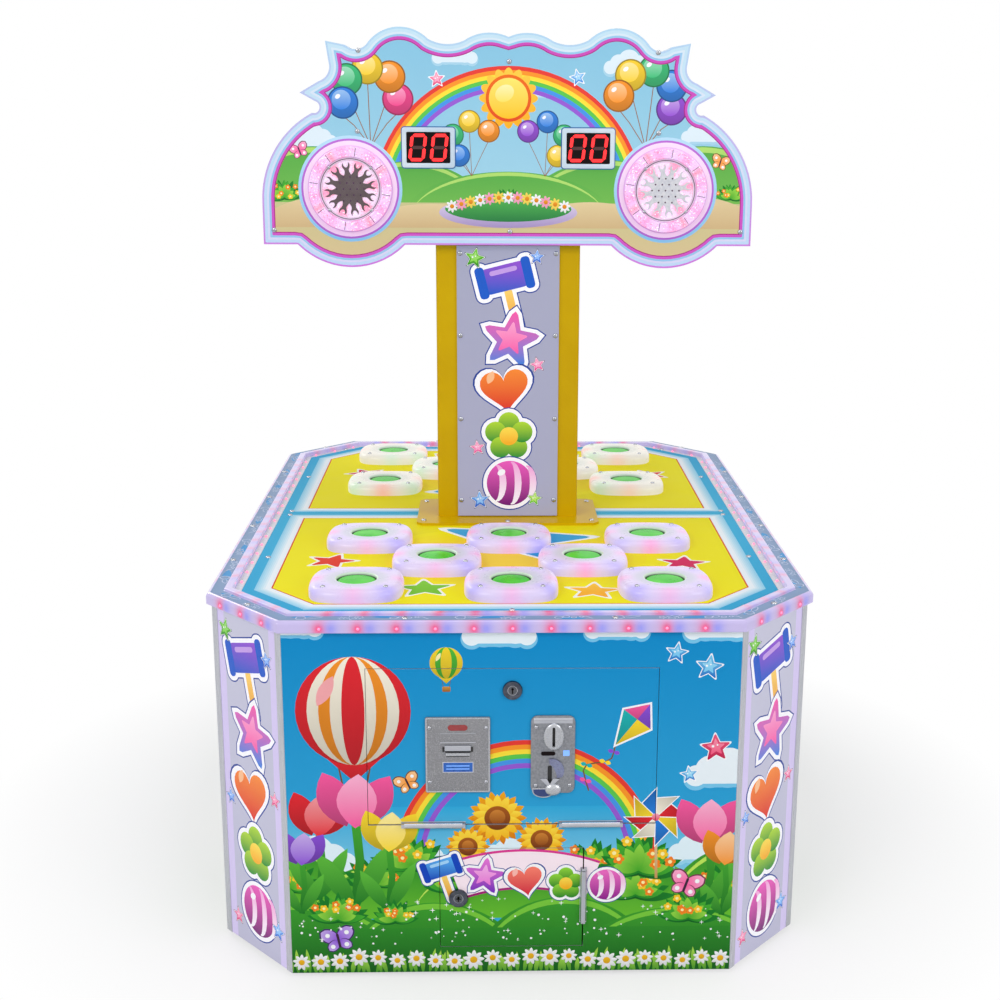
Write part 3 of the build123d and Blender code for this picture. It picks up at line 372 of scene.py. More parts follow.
def bodyFinishes(made):      # wood, sheet metal, enamel, circuit boards and the moles
    ply = Finish("plywood", coatWeight=0.0)
    grain = ply.noise(16, 6, 0.55, (1, 1, 9))
    ply.ramp(grain, [(0.3, (168, 132, 88)), (0.55, (205, 172, 124)), (0.75, (186, 148, 98))], (0.5, 0.7))
    ply.bump(grain, 0.2)
    made["wood_board"] = ply.material

    steel = Finish("zincPlate", metallic=1.0)
    flakes = steel.add("TexVoronoi", {"Vector": steel.spot(), "Scale": 130.0}, "Color", feature="F1")
    steel.set(baseColor=steel.mix(flakes, ink((150, 154, 158)), ink((188, 190, 192))),
        roughness=steel.noise(40) * 0.3 + 0.25)
    made["plain_steel"] = steel.material

    yellow = Finish("yellowPowderCoat", coat=(0.05, 0.14), specularIorLevel=0.1)
    yellow.ramp(yellow.noise(5, 4, 0.6),
        [(0.25, (204, 162, 0)), (0.6, (216, 178, 2)), (0.85, (224, 188, 10))], (0.24, 0.39))
    yellow.bump(yellow.noise(620, 1), 0.1)
    made["yellow_steel"] = yellow.material

    cast = Finish("greyHammerEnamel", metallic=0.35, coat=(0.35, 0.2))
    cells = cast.add("TexVoronoi", {"Vector": cast.spot(), "Scale": 900.0}, feature="SMOOTH_F1")
    cast.ramp(cells, [(0.1, (122, 122, 126)), (0.5, (146, 146, 150)), (0.8, (172, 172, 176))], (0.26, 0.51))
    cast.bump(cells, 0.2, 0.0004)
    made["cast_grey"] = cast.material

    circuit = Finish("greenBoardAndCase", coatWeight=0.2)
    tracks = circuit.add("TexBrick", {"Vector": circuit.spot(), "Scale": 90.0, "Color1": ink((22, 92, 52)),
        "Color2": ink((30, 112, 62)), "Mortar": ink((96, 150, 90))})
    circuit.set(baseColor=tracks, roughness=circuit.noise(60) * 0.3 + 0.3)
    made["electronics"] = circuit.material

    # the faint green emission is a painted glow that brightens the moles; they hold no lamp
    mole = Finish("greenGloss", coat=(0.06, 0.08), specularIorLevel=0.12, emissionStrength=0.12,
        emissionColor=ink((60, 200, 50)))
    mole.ramp(mole.noise(26, 3), [(0.3, (48, 176, 36)), (0.55, (66, 200, 46)), (0.8, (110, 224, 80))],
        (0.2, 0.36))
    mole.bump(mole.noise(210, 1), 0.06)
    made["mole"] = mole.material


finishes = {}
for makeFinishes in (plainFinishes, printFinishes, glowFinishes, bodyFinishes):
    makeFinishes(finishes)
print("finishes made:", len(finishes))


def polar(r, angle, squash=1.0):      # the angle is in degrees
    a = math.radians(angle)
    return r * math.cos(a), r * squash * math.sin(a)


def placed(points, x, y, turn=0.0):      # turned by turn degrees and moved to x, y
    c, s = polar(1, turn)
    return [(x + px * c - py * s, y + px * s + py * c) for px, py in points]


def box(x0, x1, y0, y1):
    return [(x0, y0), (x1, y0), (x1, y1), (x0, y1)]


def boxAt(x, y, wide, high):
    return box(x - wide / 2, x + wide / 2, y - high / 2, y + high / 2)


def disc(x, y, r, squash=1.0, turn=0.0, count=36):
    return placed([polar(r, 360 * i / count, squash) for i in range(count)], x, y, turn)


def star(x, y, r, turn=0.0, tips=5, waist=0.48, blunt=0.07):      # with its tips a little rounded
    points, half = [], 180 / tips
    for a in [turn + 90 + 2 * half * tip for tip in range(tips)]:
        points += [polar(r * (1 - 0.9 * abs(off)), a + math.degrees(off)) for off in (-blunt, 0, blunt)]
        points.append(polar(r * waist, a + half))
    return placed(points, x, y)


def leaf(x, y, length, width, turn, fullness=0.8):      # a pointed oval that starts at x, y
    side = [(length * i / 8, width / 2 * math.sin(math.pi * i / 8) ** fullness) for i in range(9)]
    return placed([(px, -py) for px, py in side] + side[-2:0:-1], x, y, turn)


def scallop(x, y, r, waves, depth, turn=0.0):
    count = waves * 8
    reaches = [r * (1 - depth + depth * abs(math.cos(math.pi * waves * i / count))) for i in range(count)]
    return placed([polar(reach, 360 * i / count) for i, reach in enumerate(reaches)], x, y, turn)


def heart(x, y, r, turn=0.0):
    points = []
    for t in [2 * math.pi * i / 40 for i in range(40)]:
        high = 13 * math.cos(t) - 5 * math.cos(2 * t) - 2 * math.cos(3 * t) - math.cos(4 * t)
        points.append((-r * math.sin(t) ** 3, r * high / 16))
    return placed(points, x, y, turn)


def roundBox(x, y, wide, high, corner, turn=0.0):
    points = []
    for quarter, (sx, sy) in enumerate(((1, 1), (-1, 1), (-1, -1), (1, -1))):
        bend = [polar(corner, 90 * quarter + 22.5 * i) for i in range(5)]
        points += placed(bend, sx * (wide / 2 - corner), sy * (high / 2 - corner))
    return placed(points, x, y, turn)


def arcPath(x, y, r, first, last, count=24, squash=1.0):
    return placed([polar(r, first + (last - first) * i / count, squash) for i in range(count + 1)], x, y)


def strip(path, widths):      # a band along a path, as wide as widths says at each point or throughout
    left, right = [], []
    for i, (x, y) in enumerate(path):
        ax, ay = path[max(i - 1, 0)]
        bx, by = path[min(i + 1, len(path) - 1)]
        length = math.hypot(bx - ax, by - ay)
        half = (widths[i] if isinstance(widths, list) else widths) / 2
        nx, ny = half * (ay - by) / length, half * (bx - ax) / length
        left.append((x + nx, y + ny))
        right.append((x - nx, y - ny))
    return right + left[::-1]


def area(points):
    return sum(a[0] * b[1] - b[0] * a[1] for a, b in zip(points, points[1:] + points[:1])) / 2


def anticlockwise(points):
    return points if area(points) > 0 else points[::-1]


def grown(points, distance):      # moved outwards, with sharp corners held back
    points, loop = anticlockwise(points), []
    for before, here, after in zip(points[-1:] + points[:-1], points, points[1:] + points[:1]):
        a = (Vector(here) - Vector(before)).normalized()
        b = (Vector(after) - Vector(here)).normalized()
        out = Vector((a.y + b.y, -a.x - b.x))
        if out.length < 1e-6:
            out = Vector((a.y, -a.x))
        out.normalize()
        reach = distance / max(0.5, out.dot(Vector((a.y, -a.x))))
        loop.append((here[0] + out.x * reach, here[1] + out.y * reach))
    return loop


def inset(points, distance):      # moved inwards all round, for bands that follow an outline
    loop = np.array(anticlockwise(points))
    dense = []
    for a, b in zip(loop, np.roll(loop, -1, axis=0)):
        count = max(1, int(np.hypot(*(b - a)) / 4))
        dense += [a + (b - a) * i / count for i in range(count)]
    dense = np.array(dense)
    ahead = np.roll(dense, -1, axis=0) - np.roll(dense, 1, axis=0)
    normal = np.stack([-ahead[:, 1], ahead[:, 0]], 1) / np.hypot(ahead[:, 0], ahead[:, 1])[:, None]
    segments = np.roll(dense, -1, axis=0) - dense
    lengths = (segments ** 2).sum(1)
    kept = []
    for point in dense + normal * distance:
        t = np.clip(((point - dense) * segments).sum(1) / lengths, 0, 1)
        near = np.hypot(*(dense + segments * t[:, None] - point).T).min()
        if near > distance * 0.97:
            kept.append(tuple(point))
    return kept


class Artwork:      # outlines painted one over another
    def __init__(self):
        self.layers = []

    def fill(self, points, colour, second=None, turn=90.0):
        # one colour, or a fade from it to the second across the outline, in the direction turn
        points = anticlockwise(points)
        ux, uy = polar(1, turn)
        along = [x * ux + y * uy for x, y in points]
        self.layers.append((points, np.array(ink(colour)), np.array(ink(second or colour)), ux, uy,
            min(along), max(along) + 1e-6))


def cutFilm(art, region, holes=()):
    # the topmost outline over each triangle of the region gives its corners their colours
    last = len(art.layers)
    points, loops = [], []
    for outline in [layer[0] for layer in art.layers] + [region, *holes]:
        loops.append(list(range(len(points), len(points) + len(outline))))
        points += [Vector(p) for p in outline]
    found, _, triangles, _, _, sources = delaunay_2d_cdt(points, [], loops, 0, 0.01)
    found = np.array([tuple(p) for p in found])
    kept, tops = [], []
    for triangle, source in zip(triangles, sources):
        if last in source and max(source) == last and len(source) > 1:
            kept.append(triangle)
            tops.append(max(i for i in source if i != last))
    kept = np.array(kept)
    spots = found[kept]
    a, b = spots[:, 1] - spots[:, 0], spots[:, 2] - spots[:, 0]
    turned = a[:, 0] * b[:, 1] - a[:, 1] * b[:, 0] < 0
    kept[turned] = kept[turned][:, ::-1]
    spots = found[kept]
    first, second = [np.array([layer[k] for layer in art.layers])[tops][:, None] for k in (1, 2)]
    ux, uy, low, high = [np.array([layer[k] for layer in art.layers])[tops][:, None] for k in (3, 4, 5, 6)]
    share = np.clip((spots[:, :, 0] * ux + spots[:, :, 1] * uy - low) / (high - low), 0, 1)[:, :, None]
    return found, kept, first + (second - first) * share


def layFilm(name, cuts, plane, finish, body="cabinet"):
    # the plane is its origin and the directions of the films' x and y
    origin, right, up = [np.array(row) for row in plane]
    points, faces, colours, flat = [], [], [], []
    for found, kept, paint in cuts:
        used, index = np.unique(kept, return_inverse=True)
        faces += (index.reshape(kept.shape) + len(points)).tolist()
        flat += found[used].tolist()
        points += (origin + found[used][:, :1] * right + found[used][:, 1:] * up).tolist()
        colours.append(paint.reshape(-1, 3))
    piece = paintMesh(addMesh(name, points, faces, finishes[finish]), "paint", np.concatenate(colours),
        "CORNER")
    flat = np.array(flat)
    corner = np.zeros(len(piece.data.loops), int)
    piece.data.loops.foreach_get("vertex_index", corner)
    places = (flat[corner] - flat.min(0)) / ((flat.max(0) - flat.min(0)) * 1.01) + 0.005
    piece.data.uv_layers.new(name="OFBake").data.foreach_set("uv", places.ravel())
    settle(piece, body)


def endPlane(side, distance):      # side -1 looks out of the front and 1 out of the rear
    return (0, side * (distance + machine["filmLift"]), 0), (-side, 0, 0), upward


def panelBox(half):
    return box(-half, half, machine["foot"], machine["panelTop"])


white, navy = (252, 252, 255), (36, 64, 150)
inks = {"red": (232, 40, 50), "orange": (250, 150, 40), "yellow": (254, 220, 50), "green": (80, 190, 60),
    "blue": (40, 130, 225), "violet": (140, 80, 215), "pink": (250, 90, 160), "cream": (255, 246, 226),
    "teal": (30, 180, 180), "lime": (170, 220, 60)}


def inksOf(names):
    return [inks[name] for name in names.split()]


def plainStar(art, x, y, r, low, high, turn, halo, line=None):
    art.fill(star(x, y, r + halo * 1.9, turn), line or white)
    if line:
        art.fill(star(x, y, r + halo, turn), white)
    art.fill(star(x, y, r, turn), low, high)
    art.fill(star(x, y + r * 0.06, r * 0.62, turn), high, paler(high, 0.35))
    art.fill(disc(x - r * 0.2, y + r * 0.12, r * 0.09, count=12), white)
    art.fill(disc(x + r * 0.1, y + r * 0.22, r * 0.06, count=12), white)


def sticker(art, s, outlines, fills):      # a cut-out motif: dark line, white border, then its own shapes
    for reach, tone in ((s * 0.105, navy), (s * 0.08, white)):
        for outline in outlines:
            art.fill(grown(outline, reach), tone)
    for outline, fill in zip(outlines, fills):
        art.fill(outline, *fill)


def malletSign(art, x, y, s, low, high, turn):
    middles = placed([(s * px, s * py) for px, py in ((0, -0.4), (0, 0.28), (-0.5, 0.28), (0.5, 0.28),
        (0, 0.43))], x, y, turn)
    sizes = ((0.17, 0.9, 0.08), (1.05, 0.55, 0.16), (0.2, 0.68, 0.08), (0.2, 0.68, 0.08), (0.6, 0.1, 0.05))
    *shapes, shine = [roundBox(*middle, *[s * v for v in size], turn)
        for middle, size in zip(middles, sizes)]
    sticker(art, s, shapes, [((235, 150, 40), (255, 215, 110)), (low, high), (low, low), (low, low)])
    art.fill(shine, paler(high, 0.45))


def starSign(art, x, y, s, low, high, turn):
    sticker(art, s, [star(x, y, s * 0.62, turn, blunt=0.12)], [(low, high)])
    art.fill(star(x, y + s * 0.03, s * 0.36, turn), high, paler(high, 0.45))


def heartSign(art, x, y, s, low, high, turn):
    for reach, tone in ((0.67, navy), (0.63, white)):
        art.fill(heart(x, y, s * reach, turn), tone)
    art.fill(heart(x, y, s * 0.52, turn), low, high)
    art.fill(leaf(x - s * 0.36, y + s * 0.1, s * 0.3, s * 0.16, 60 + turn), paler(high, 0.45))


def flowerSign(art, x, y, s, low, high, turn):
    petals = [disc(*placed([polar(s * 0.3, turn + 90 + 72 * k)], x, y)[0], s * 0.23, count=20)
        for k in range(5)]
    sticker(art, s, petals + [disc(x, y, s * 0.2)], [(low, high)] * 5 + [((250, 170, 20), (255, 226, 80))])


def ballSign(art, x, y, s, low, high, turn):
    sticker(art, s, [disc(x, y, s * 0.5)], [(low, high)])
    angles = [math.pi * i / 10 for i in range(11)]
    for bend in (-0.55, 0.05, 0.65):
        path = [(x + s * (bend * 0.55 + 0.16 * math.sin(t)),
            y + s * 0.48 * math.cos(t) * (1 - abs(bend) * 0.3)) for t in angles]
        art.fill(strip(path, [s * (0.02 + 0.13 * math.sin(t)) for t in angles]), white, paler(high, 0.45))
    art.fill(disc(x - s * 0.18, y + s * 0.24, s * 0.09, 0.7, 30), white)


# each sign with its dark and light shade and its turn, for the rows along the panels and for the stacks
signRow = [(malletSign, (20, 70, 190), (90, 180, 250), 18), (starSign, (110, 40, 190), (240, 120, 220), -8),
    (heartSign, (214, 20, 60), (255, 130, 110), 10), (flowerSign, (20, 130, 40), (150, 220, 60), 0),
    (ballSign, (140, 20, 140), (245, 110, 200), 0)]
signStack = [(malletSign, (20, 90, 200), (150, 80, 210), 14),
    (starSign, (40, 130, 220), (250, 90, 170), -10), (heartSign, (222, 20, 30), (250, 140, 50), 8),
    (flowerSign, (24, 140, 50), (180, 220, 50), 0), (ballSign, (110, 20, 110), (240, 90, 190), 0)]


def rowOfSigns(art, x, z, pitch, size, phase=0.0, wave=1.0):
    for k, (sign, low, high, turn) in enumerate(signRow):
        sign(art, x + k * pitch, z + 8 * math.sin(phase + k * wave), size, low, high, turn)


def cloud(art, x, y, s, shade, top):
    lumps = [(-1.15, -0.05, 0.42), (-0.62, 0.2, 0.56), (0.05, 0.36, 0.7), (0.7, 0.16, 0.55),
        (1.2, -0.06, 0.4)]
    for drop, grow, colour in ((-0.12, 1.12, shade), (0, 1.0, top)):
        for dx, dy, r in lumps:
            art.fill(disc(x + s * dx, y + s * (dy + drop), s * r * grow, count=28), colour)
        art.fill(roundBox(x, y + s * (drop - 0.12), s * 2.9, s * 0.5 * grow, s * 0.22), colour)


def skyCloud(art, x, y, s):
    cloud(art, x, y, s, (120, 200, 236), (236, 246, 252))


def sun(art, x, y, r):
    art.fill(scallop(x, y, r * 1.5, 16, 0.18), (250, 176, 28), (255, 206, 70))
    art.fill(disc(x, y, r * 1.16), (226, 74, 20), (240, 110, 26))
    art.fill(disc(x, y, r), (255, 196, 30), (255, 232, 110))
    art.fill(disc(x - r * 0.2, y + r * 0.24, r * 0.5, 0.8, 30), (255, 226, 96), (255, 244, 176))


def balloon(art, x, y, r, names):
    colours = inksOf(names)
    for side in (-0.3, 0.3):
        art.fill(strip([(x + r * side, y - r * 0.9), (x + r * side * 0.6, y - r * 1.55)], r * 0.03),
            (120, 80, 40))
    art.fill(roundBox(x, y - r * 1.68, r * 0.5, r * 0.34, r * 0.08), (150, 92, 36), (214, 150, 70))
    art.fill([(x - r * 0.62, y - r * 0.74), (x, y - r * 1.32), (x + r * 0.62, y - r * 0.74)],
        darker(colours[0], 0.8), colours[0])
    for k, colour in enumerate(colours):
        wide = 1 - k / len(colours)
        art.fill([(x + px * wide, y + py) for px, py in disc(0, 0, r)], darker(colour, 0.78), colour)
    art.fill(leaf(x - r * 0.62, y + r * 0.1, r * 0.62, r * 0.24, 62), paler(colours[0], 0.6))


def ballBunch(art, x, y, r, colours, turn):      # round toy balloons on strings
    places = []
    for k in range(len(colours)):
        dx, dy = polar(r * 1.7, turn + 200 * k / (len(colours) - 1) - 10)
        places.append((x + dx * 1.15, y + dy * 1.1 + r * 0.5))
    for bx, by in places:
        string = [(bx, by - r * 0.9), (bx * 0.6 + x * 0.4, by * 0.5 + y * 0.5 - r * 1.5), (x, y - r * 2.9)]
        art.fill(strip(string, r * 0.06), (150, 100, 60))
    for (bx, by), colour in zip(places, colours):
        art.fill(disc(bx, by, r * 1.1), darker(colour, 0.62))
        art.fill(disc(bx, by, r), darker(colour, 0.8), colour)
        art.fill(disc(bx - r * 0.1, by + r * 0.2, r * 0.66), colour, paler(colour, 0.5))
        art.fill(disc(bx - r * 0.34, by + r * 0.42, r * 0.2, 0.7, 35, 16), white)


def rainbow(art, x, y, r, wide, first=0, last=180):
    bands = [(232, 60, 50), (250, 150, 40), (252, 224, 60), (90, 200, 80), (70, 150, 230), (150, 90, 210)]
    each = wide / len(bands)
    for k, colour in enumerate(bands):
        art.fill(strip(arcPath(x, y, r - each * (k + 0.5), first, last, 36), each + 0.4), colour)


def hill(art, x, y, wide, high, low, top, light=None):
    path = [(x + wide * math.cos(math.pi * i / 30), y + high * math.sin(math.pi * i / 30))
        for i in range(31)]
    art.fill(path, low, top)
    if light:
        ridge = [(px * 0.94 + x * 0.06, py - high * 0.05) for px, py in path[3:28]]
        last = len(ridge) - 1
        art.fill(strip(ridge, [high * 0.07 * math.sin(math.pi * i / last) + 0.3 for i in range(last + 1)]),
            light)


def bush(art, x, y, s, chance):
    for ring, (low, high) in enumerate((((10, 92, 30), (24, 130, 40)), ((22, 128, 34), (70, 176, 48)),
            ((70, 170, 40), (150, 214, 70)))):
        count = 11 - 2 * ring
        for k in range(count):
            a = 10 + 160 * k / (count - 1) + chance(-6, 6)
            art.fill(leaf(x, y + s * 0.06 * ring, s * (1.0 - 0.2 * ring) * chance(0.88, 1.08), s * 0.26, a),
                low, high, a)
    r = s * 0.075
    for k in range(7):
        a = chance(25, 155)
        bx, by = placed([polar(s * chance(0.3, 0.85), a)], x, y)[0]
        for px, py in placed([polar(r, 72 * p + k * 20) for p in range(5)], bx, by):
            art.fill(disc(px, py, r * 0.7, count=10), ((245, 130, 30), (250, 200, 40))[k % 2])
        art.fill(disc(bx, by, r * 0.6, count=10), (255, 244, 170))


def tulip(art, x, y, s, name, turn):
    colour = inks[name]
    stem = [(x, y), (x + s * 0.06, y + s * 0.5), (x + s * 0.02, y + s)]
    art.fill(strip(stem, s * 0.09), (20, 110, 30), (70, 170, 50))
    for length, a in ((0.8, 62), (0.7, 122)):
        art.fill(leaf(x, y, s * length, s * 0.2, a), (24, 120, 34), (96, 190, 60))
    for off in (-0.2, 0.2):
        art.fill(leaf(x + off * s * 0.3, y + s * 0.88, s * 0.62, s * 0.34, 90 - off * 130 + turn),
            darker(colour, 0.72), colour)
    art.fill(leaf(x + s * 0.02, y + s * 0.86, s * 0.58, s * 0.4, 90 + turn), colour, paler(colour, 0.55))


def daisy(art, x, y, r, petal=white, middle=(250, 190, 30), petals=9):
    for k in range(petals):
        art.fill(leaf(x, y, r, r * 0.42, 360 * k / petals + 7, 0.6), darker(petal, 0.86), petal)
    art.fill(disc(x, y, r * 0.34, count=18), darker(middle, 0.85), middle)


def sunflower(art, x, y, r):
    for ring, (low, high) in enumerate((((214, 120, 10), (246, 170, 20)), ((246, 180, 20), (255, 224, 70)))):
        for k in range(14):
            art.fill(leaf(x, y, r * (1.05 - 0.14 * ring), r * 0.34, 360 * (k + ring / 2) / 14, 0.7), low,
                high)
    art.fill(disc(x, y, r * 0.46), (110, 52, 14), (170, 90, 26))
    art.fill(disc(x, y + r * 0.04, r * 0.28), (146, 74, 20), (206, 130, 50))


def butterfly(art, x, y, s, colour, turn):
    for side in (-1, 1):
        for up, size in ((38, 1.0), (-38, 0.72)):
            a = turn + (up if side > 0 else 180 - up)
            art.fill(leaf(x, y, s * size * 1.08, s * size * 0.82, a, 0.45), darker(colour, 0.45))
            art.fill(leaf(x, y, s * size, s * size * 0.68, a, 0.45), colour, paler(colour, 0.5), a)
            art.fill(disc(*placed([polar(s * size * 0.62, a)], x, y)[0], s * 0.12, count=12), white)
    art.fill(roundBox(x, y, s * 0.13, s * 0.8, s * 0.06, turn), (60, 40, 60))


def kite(art, x, y, s, names, turn, tail):
    colours = inksOf(names)
    swing = [(s * 0.14 * math.sin(k * 0.9) * k ** 0.5, -s * (1 + 0.22 * k)) for k in range(tail)]
    path = placed(swing, x, y, turn)
    art.fill(strip(path, s * 0.05), (120, 90, 60))
    for k in range(1, tail - 1, 2):
        for side in (0, 180):
            art.fill(leaf(*path[k], s * 0.2, s * 0.14, turn + side + 20), colours[k // 2 % len(colours)])
    *tips, middle = placed([(0, s * 0.75), (s * 0.55, s * 0.1), (0, -s), (-s * 0.55, s * 0.1),
        (0, s * 0.1)], x, y, turn)
    art.fill(grown(tips, s * 0.06), white)
    for k in range(4):
        art.fill([tips[k], tips[(k + 1) % 4], middle], darker(colours[k], 0.82), colours[k])


def pinwheel(art, x, y, r, names, stem):
    art.fill(strip([(x, y), (x + 3, y - stem)], r * 0.09), (200, 150, 90), (240, 220, 180))
    for k, colour in enumerate(inksOf(names) * 2):
        vane = [(x, y), *placed([polar(r, 45 * k), polar(r * 0.66, 45 * k + 42)], x, y)]
        art.fill(grown(vane, r * 0.035), white)
        art.fill(vane, colour, darker(colour, 0.75), 45 * k)
    art.fill(disc(x, y, r * 0.13), (230, 60, 90), (255, 170, 190))


def each(motif, art, *rows):
    for row in rows:
        motif(art, *row)


# places from one edge to the other, a little uneven
def unevenRow(half, pitch, more, start, spread, chance):
    for k in range(int(2 * half / pitch) + more):
        yield start - half + pitch * k + chance(-spread, spread)


def meadow(half, chance):
    # sky, far clouds, hills and a grassy foreground across twice half
    art, floor, high = Artwork(), machine["foot"], machine["panelTop"]
    art.fill(box(-half - 5, half + 5, floor - 5, high + 5), (60, 178, 224), (2, 140, 204))
    art.fill(box(-half - 5, half + 5, floor + (high - floor) * 0.2, floor + (high - floor) * 0.5),
        (150, 218, 240), (46, 170, 220))
    for x in unevenRow(half, 150, 1, 40, 20, chance):
        cloud(art, x, floor + 176 + chance(-14, 30), chance(26, 40), (150, 214, 240), (226, 244, 252))
    for x in unevenRow(half, 180, 2, -20, 25, chance):
        hill(art, x, floor + 90, chance(120, 160), chance(90, 130), (104, 190, 46), (30, 140, 40),
            (190, 230, 90))
    for x in unevenRow(half, 130, 2, 0, 25, chance):
        bush(art, x, floor + 128 + chance(-8, 16), chance(42, 62), chance)
    for x in unevenRow(half, 200, 2, 0, 25, chance):
        hill(art, x, floor - 10, chance(140, 190), chance(112, 136), (16, 92, 26), (60, 160, 44),
            (120, 200, 60))
    art.fill(box(-half - 5, half + 5, floor - 5, floor + 74), (14, 88, 26), (46, 140, 40))
    return art


def foreground(art, half, chance):      # blades of grass, daisies and white specks along the bottom edge
    floor = machine["foot"]
    for x in range(-half, half, 9):
        art.fill(leaf(x, floor - 4, chance(26, 46), 7, chance(70, 110)), (40, 140, 36), (170, 220, 80))
    for x in range(14 - half, half, 29):
        daisy(art, x, floor + chance(16, 26), chance(13, 17))
    for k in range(int(2 * half / 9)):
        art.fill(disc(chance(-half, half), floor + chance(48, 104), chance(0.8, 2.2), count=8), white)


print("motifs ready")

coinParts = {"ticketAt": (-80, 364), "ticket": (95, 118, 2.4), "ticketCut": (88, 110),
    "mouth": (-19, 19, 4, 9), "acceptorAt": (59.5, 364), "acceptor": (65, 122, 10),
    "acceptorCut": (58, 114), "thick": 3}
locks = {"coin": (0, 464, -1), "cash": (-80.5, 131.75, -1), "rear": (-172, 295, 1)}      # x, z and end
doorCuts = {"coin": (-213, 213, 253.3, 497), "cash": (-108, 106.2, 51, 212.5),
    "rear": (-200, 199.7, 120, 470)}
openings = {"coin": (-213.8, 213.8, 251.4, 497.8), "cash": (-108.8, 108.1, 50.2, 213.3),
    "rear": (-203.2, 201.5, 118.5, 471.5), "inlet": (252, 288, 66, 94)}
grooves = {"coinLeft": (-164.8, -69.2, 246.9, 257.1), "coinRight": (69.2, 164.8, 246.9, 257.1),
    "cash": (102.4, 112.6, 89.7, 181.3), "rear": (-206.1, -195.9, 214.7, 375.3)}
lockHole = 12.5


def frontArt():
    chance, half = random.Random(11).uniform, machine["faceHalf"]
    art = meadow(half, chance)
    each(skyCloud, art, (-20, 548, 34), (150, 556, 30), (300, 556, 34), (-320, 560, 30), (318, 330, 40))
    rainbow(art, 20, 190, 196, 44)
    for x in (-150, -60, 120, 190):
        bush(art, x, 168 + chance(-6, 10), chance(56, 70), chance)
    each(sunflower, art, (-22, 262, 42), (44, 226, 36), (-66, 216, 32))
    bush(art, -6, 150, 64, chance)
    each(balloon, art, (-232, 432, 84, "red cream orange cream red"), (-96, 506, 24, "yellow green yellow"))
    kite(art, 180, 414, 46, "violet yellow teal pink", -38, 9)
    pinwheel(art, 214, 262, 46, "red cream blue yellow", 100)
    for x, z, s, name in ((-290, 130, 120, "red"), (-236, 118, 150, "pink"), (-186, 112, 112, "yellow"),
            (-316, 108, 92, "violet"), (292, 106, 128, "pink"), (318, 100, 96, "orange")):
        tulip(art, x, z, s, name, chance(-8, 8))
    each(bush, art, (-262, 92, 50, chance), (-176, 90, 40, chance), (268, 90, 52, chance))
    for x, z, r, low, high in ((238, 520, 15, (20, 110, 200), (110, 200, 245)),
            (286, 498, 19, (20, 110, 200), (120, 205, 245)), (300, 372, 22, (190, 20, 70), (245, 90, 130)),
            (262, 330, 12, (30, 120, 210), (140, 215, 250))):
        plainStar(art, x, z, r, low, high, chance(-14, 14), 1.6)
    each(butterfly, art, (-154, 318, 22, inks["orange"], 24), (262, 150, 30, inks["pink"], -18),
        (-262, 62, 30, inks["violet"], 12))
    banner = arcPath(18, 20, 220, 62, 118, 20, 0.72)
    art.fill(strip(banner, 66), (150, 20, 110), (226, 60, 150))
    art.fill(strip(banner, 58), (255, 236, 246))
    rowOfSigns(art, -102, 160, 61, 50, 1.2, 0.9)
    foreground(art, half, chance)
    for k in range(60):
        x, z = chance(-320, 320), chance(60, 130)
        art.fill(star(x, z, chance(1.5, 4.5), 0, 4, 0.22, 0.02), white)
    return art


def frontFilms():
    art, plane = frontArt(), endPlane(-1, halfY)
    slots = {name: box(*edges) for name, edges in grooves.items()}
    holes = [box(*openings["coin"]), box(*openings["cash"]), slots["coinLeft"], slots["coinRight"],
        slots["cash"]]
    layFilm("frontFilm", [cutFilm(art, panelBox(machine["faceHalf"]), holes)], plane, "film")
    holes = [slots["coinLeft"], slots["coinRight"], disc(*locks["coin"][:2], lockHole),
        *[boxAt(*coinParts[part + "At"], *coinParts[part + "Cut"]) for part in ("acceptor", "ticket")]]
    layFilm("coinDoorFilm", [cutFilm(art, box(*doorCuts["coin"]), holes)], plane, "film",
        "coin_door")
    holes = [slots["cash"], disc(*locks["cash"][:2], lockHole)]
    layFilm("cashDoorFilm", [cutFilm(art, box(*doorCuts["cash"]), holes)], plane, "film",
        "cash_door")


def rearFilms():
    # x runs the other way for a viewer behind the machine
    dice, half = random.Random(23), machine["faceHalf"]
    chance = dice.uniform
    art, plane = meadow(half, chance), endPlane(1, halfY)
    each(skyCloud, art, (-250, 548, 34), (-40, 552, 30), (160, 552, 36), (320, 540, 30))
    sun(art, 236, 430, 46)
    rainbow(art, -60, 160, 230, 50)
    each(balloon, art, (-210, 440, 62, "blue cream violet cream blue"), (-60, 470, 40, "green yellow green"))
    kite(art, 110, 440, 44, "red yellow blue lime", 30, 9)
    for x in (-280, -120, 30, 150, 280):
        bush(art, x, 150, chance(54, 72), chance)
    each(sunflower, art, (-180, 250, 40), (-120, 214, 34), (250, 240, 36))
    for x, s, name in ((-300, 130, "pink"), (-250, 110, "red"), (180, 128, "violet"), (220, 110, "orange"),
            (300, 120, "red")):
        tulip(art, x, 100, s, name, chance(-8, 8))
    for x, z in ((-30, 340), (40, 250), (-290, 330)):
        butterfly(art, x, z, 28, dice.choice(inksOf("pink orange violet")), chance(-30, 30))
    rowOfSigns(art, -124, 96, 62, 50)
    foreground(art, half, chance)
    groove, (x, z, _) = box(*grooves["rear"]), locks["rear"]
    x0, x1, z0, z1 = doorCuts["rear"]
    holes = [box(*openings["rear"]), groove, box(*openings["inlet"])]
    layFilm("rearFilm", [cutFilm(art, panelBox(half), holes)], plane, "film")
    layFilm("rearDoorFilm", [cutFilm(art, box(-x1, -x0, z0, z1), [groove, disc(-x, z, lockHole)])], plane,
        "film", "rear_door")


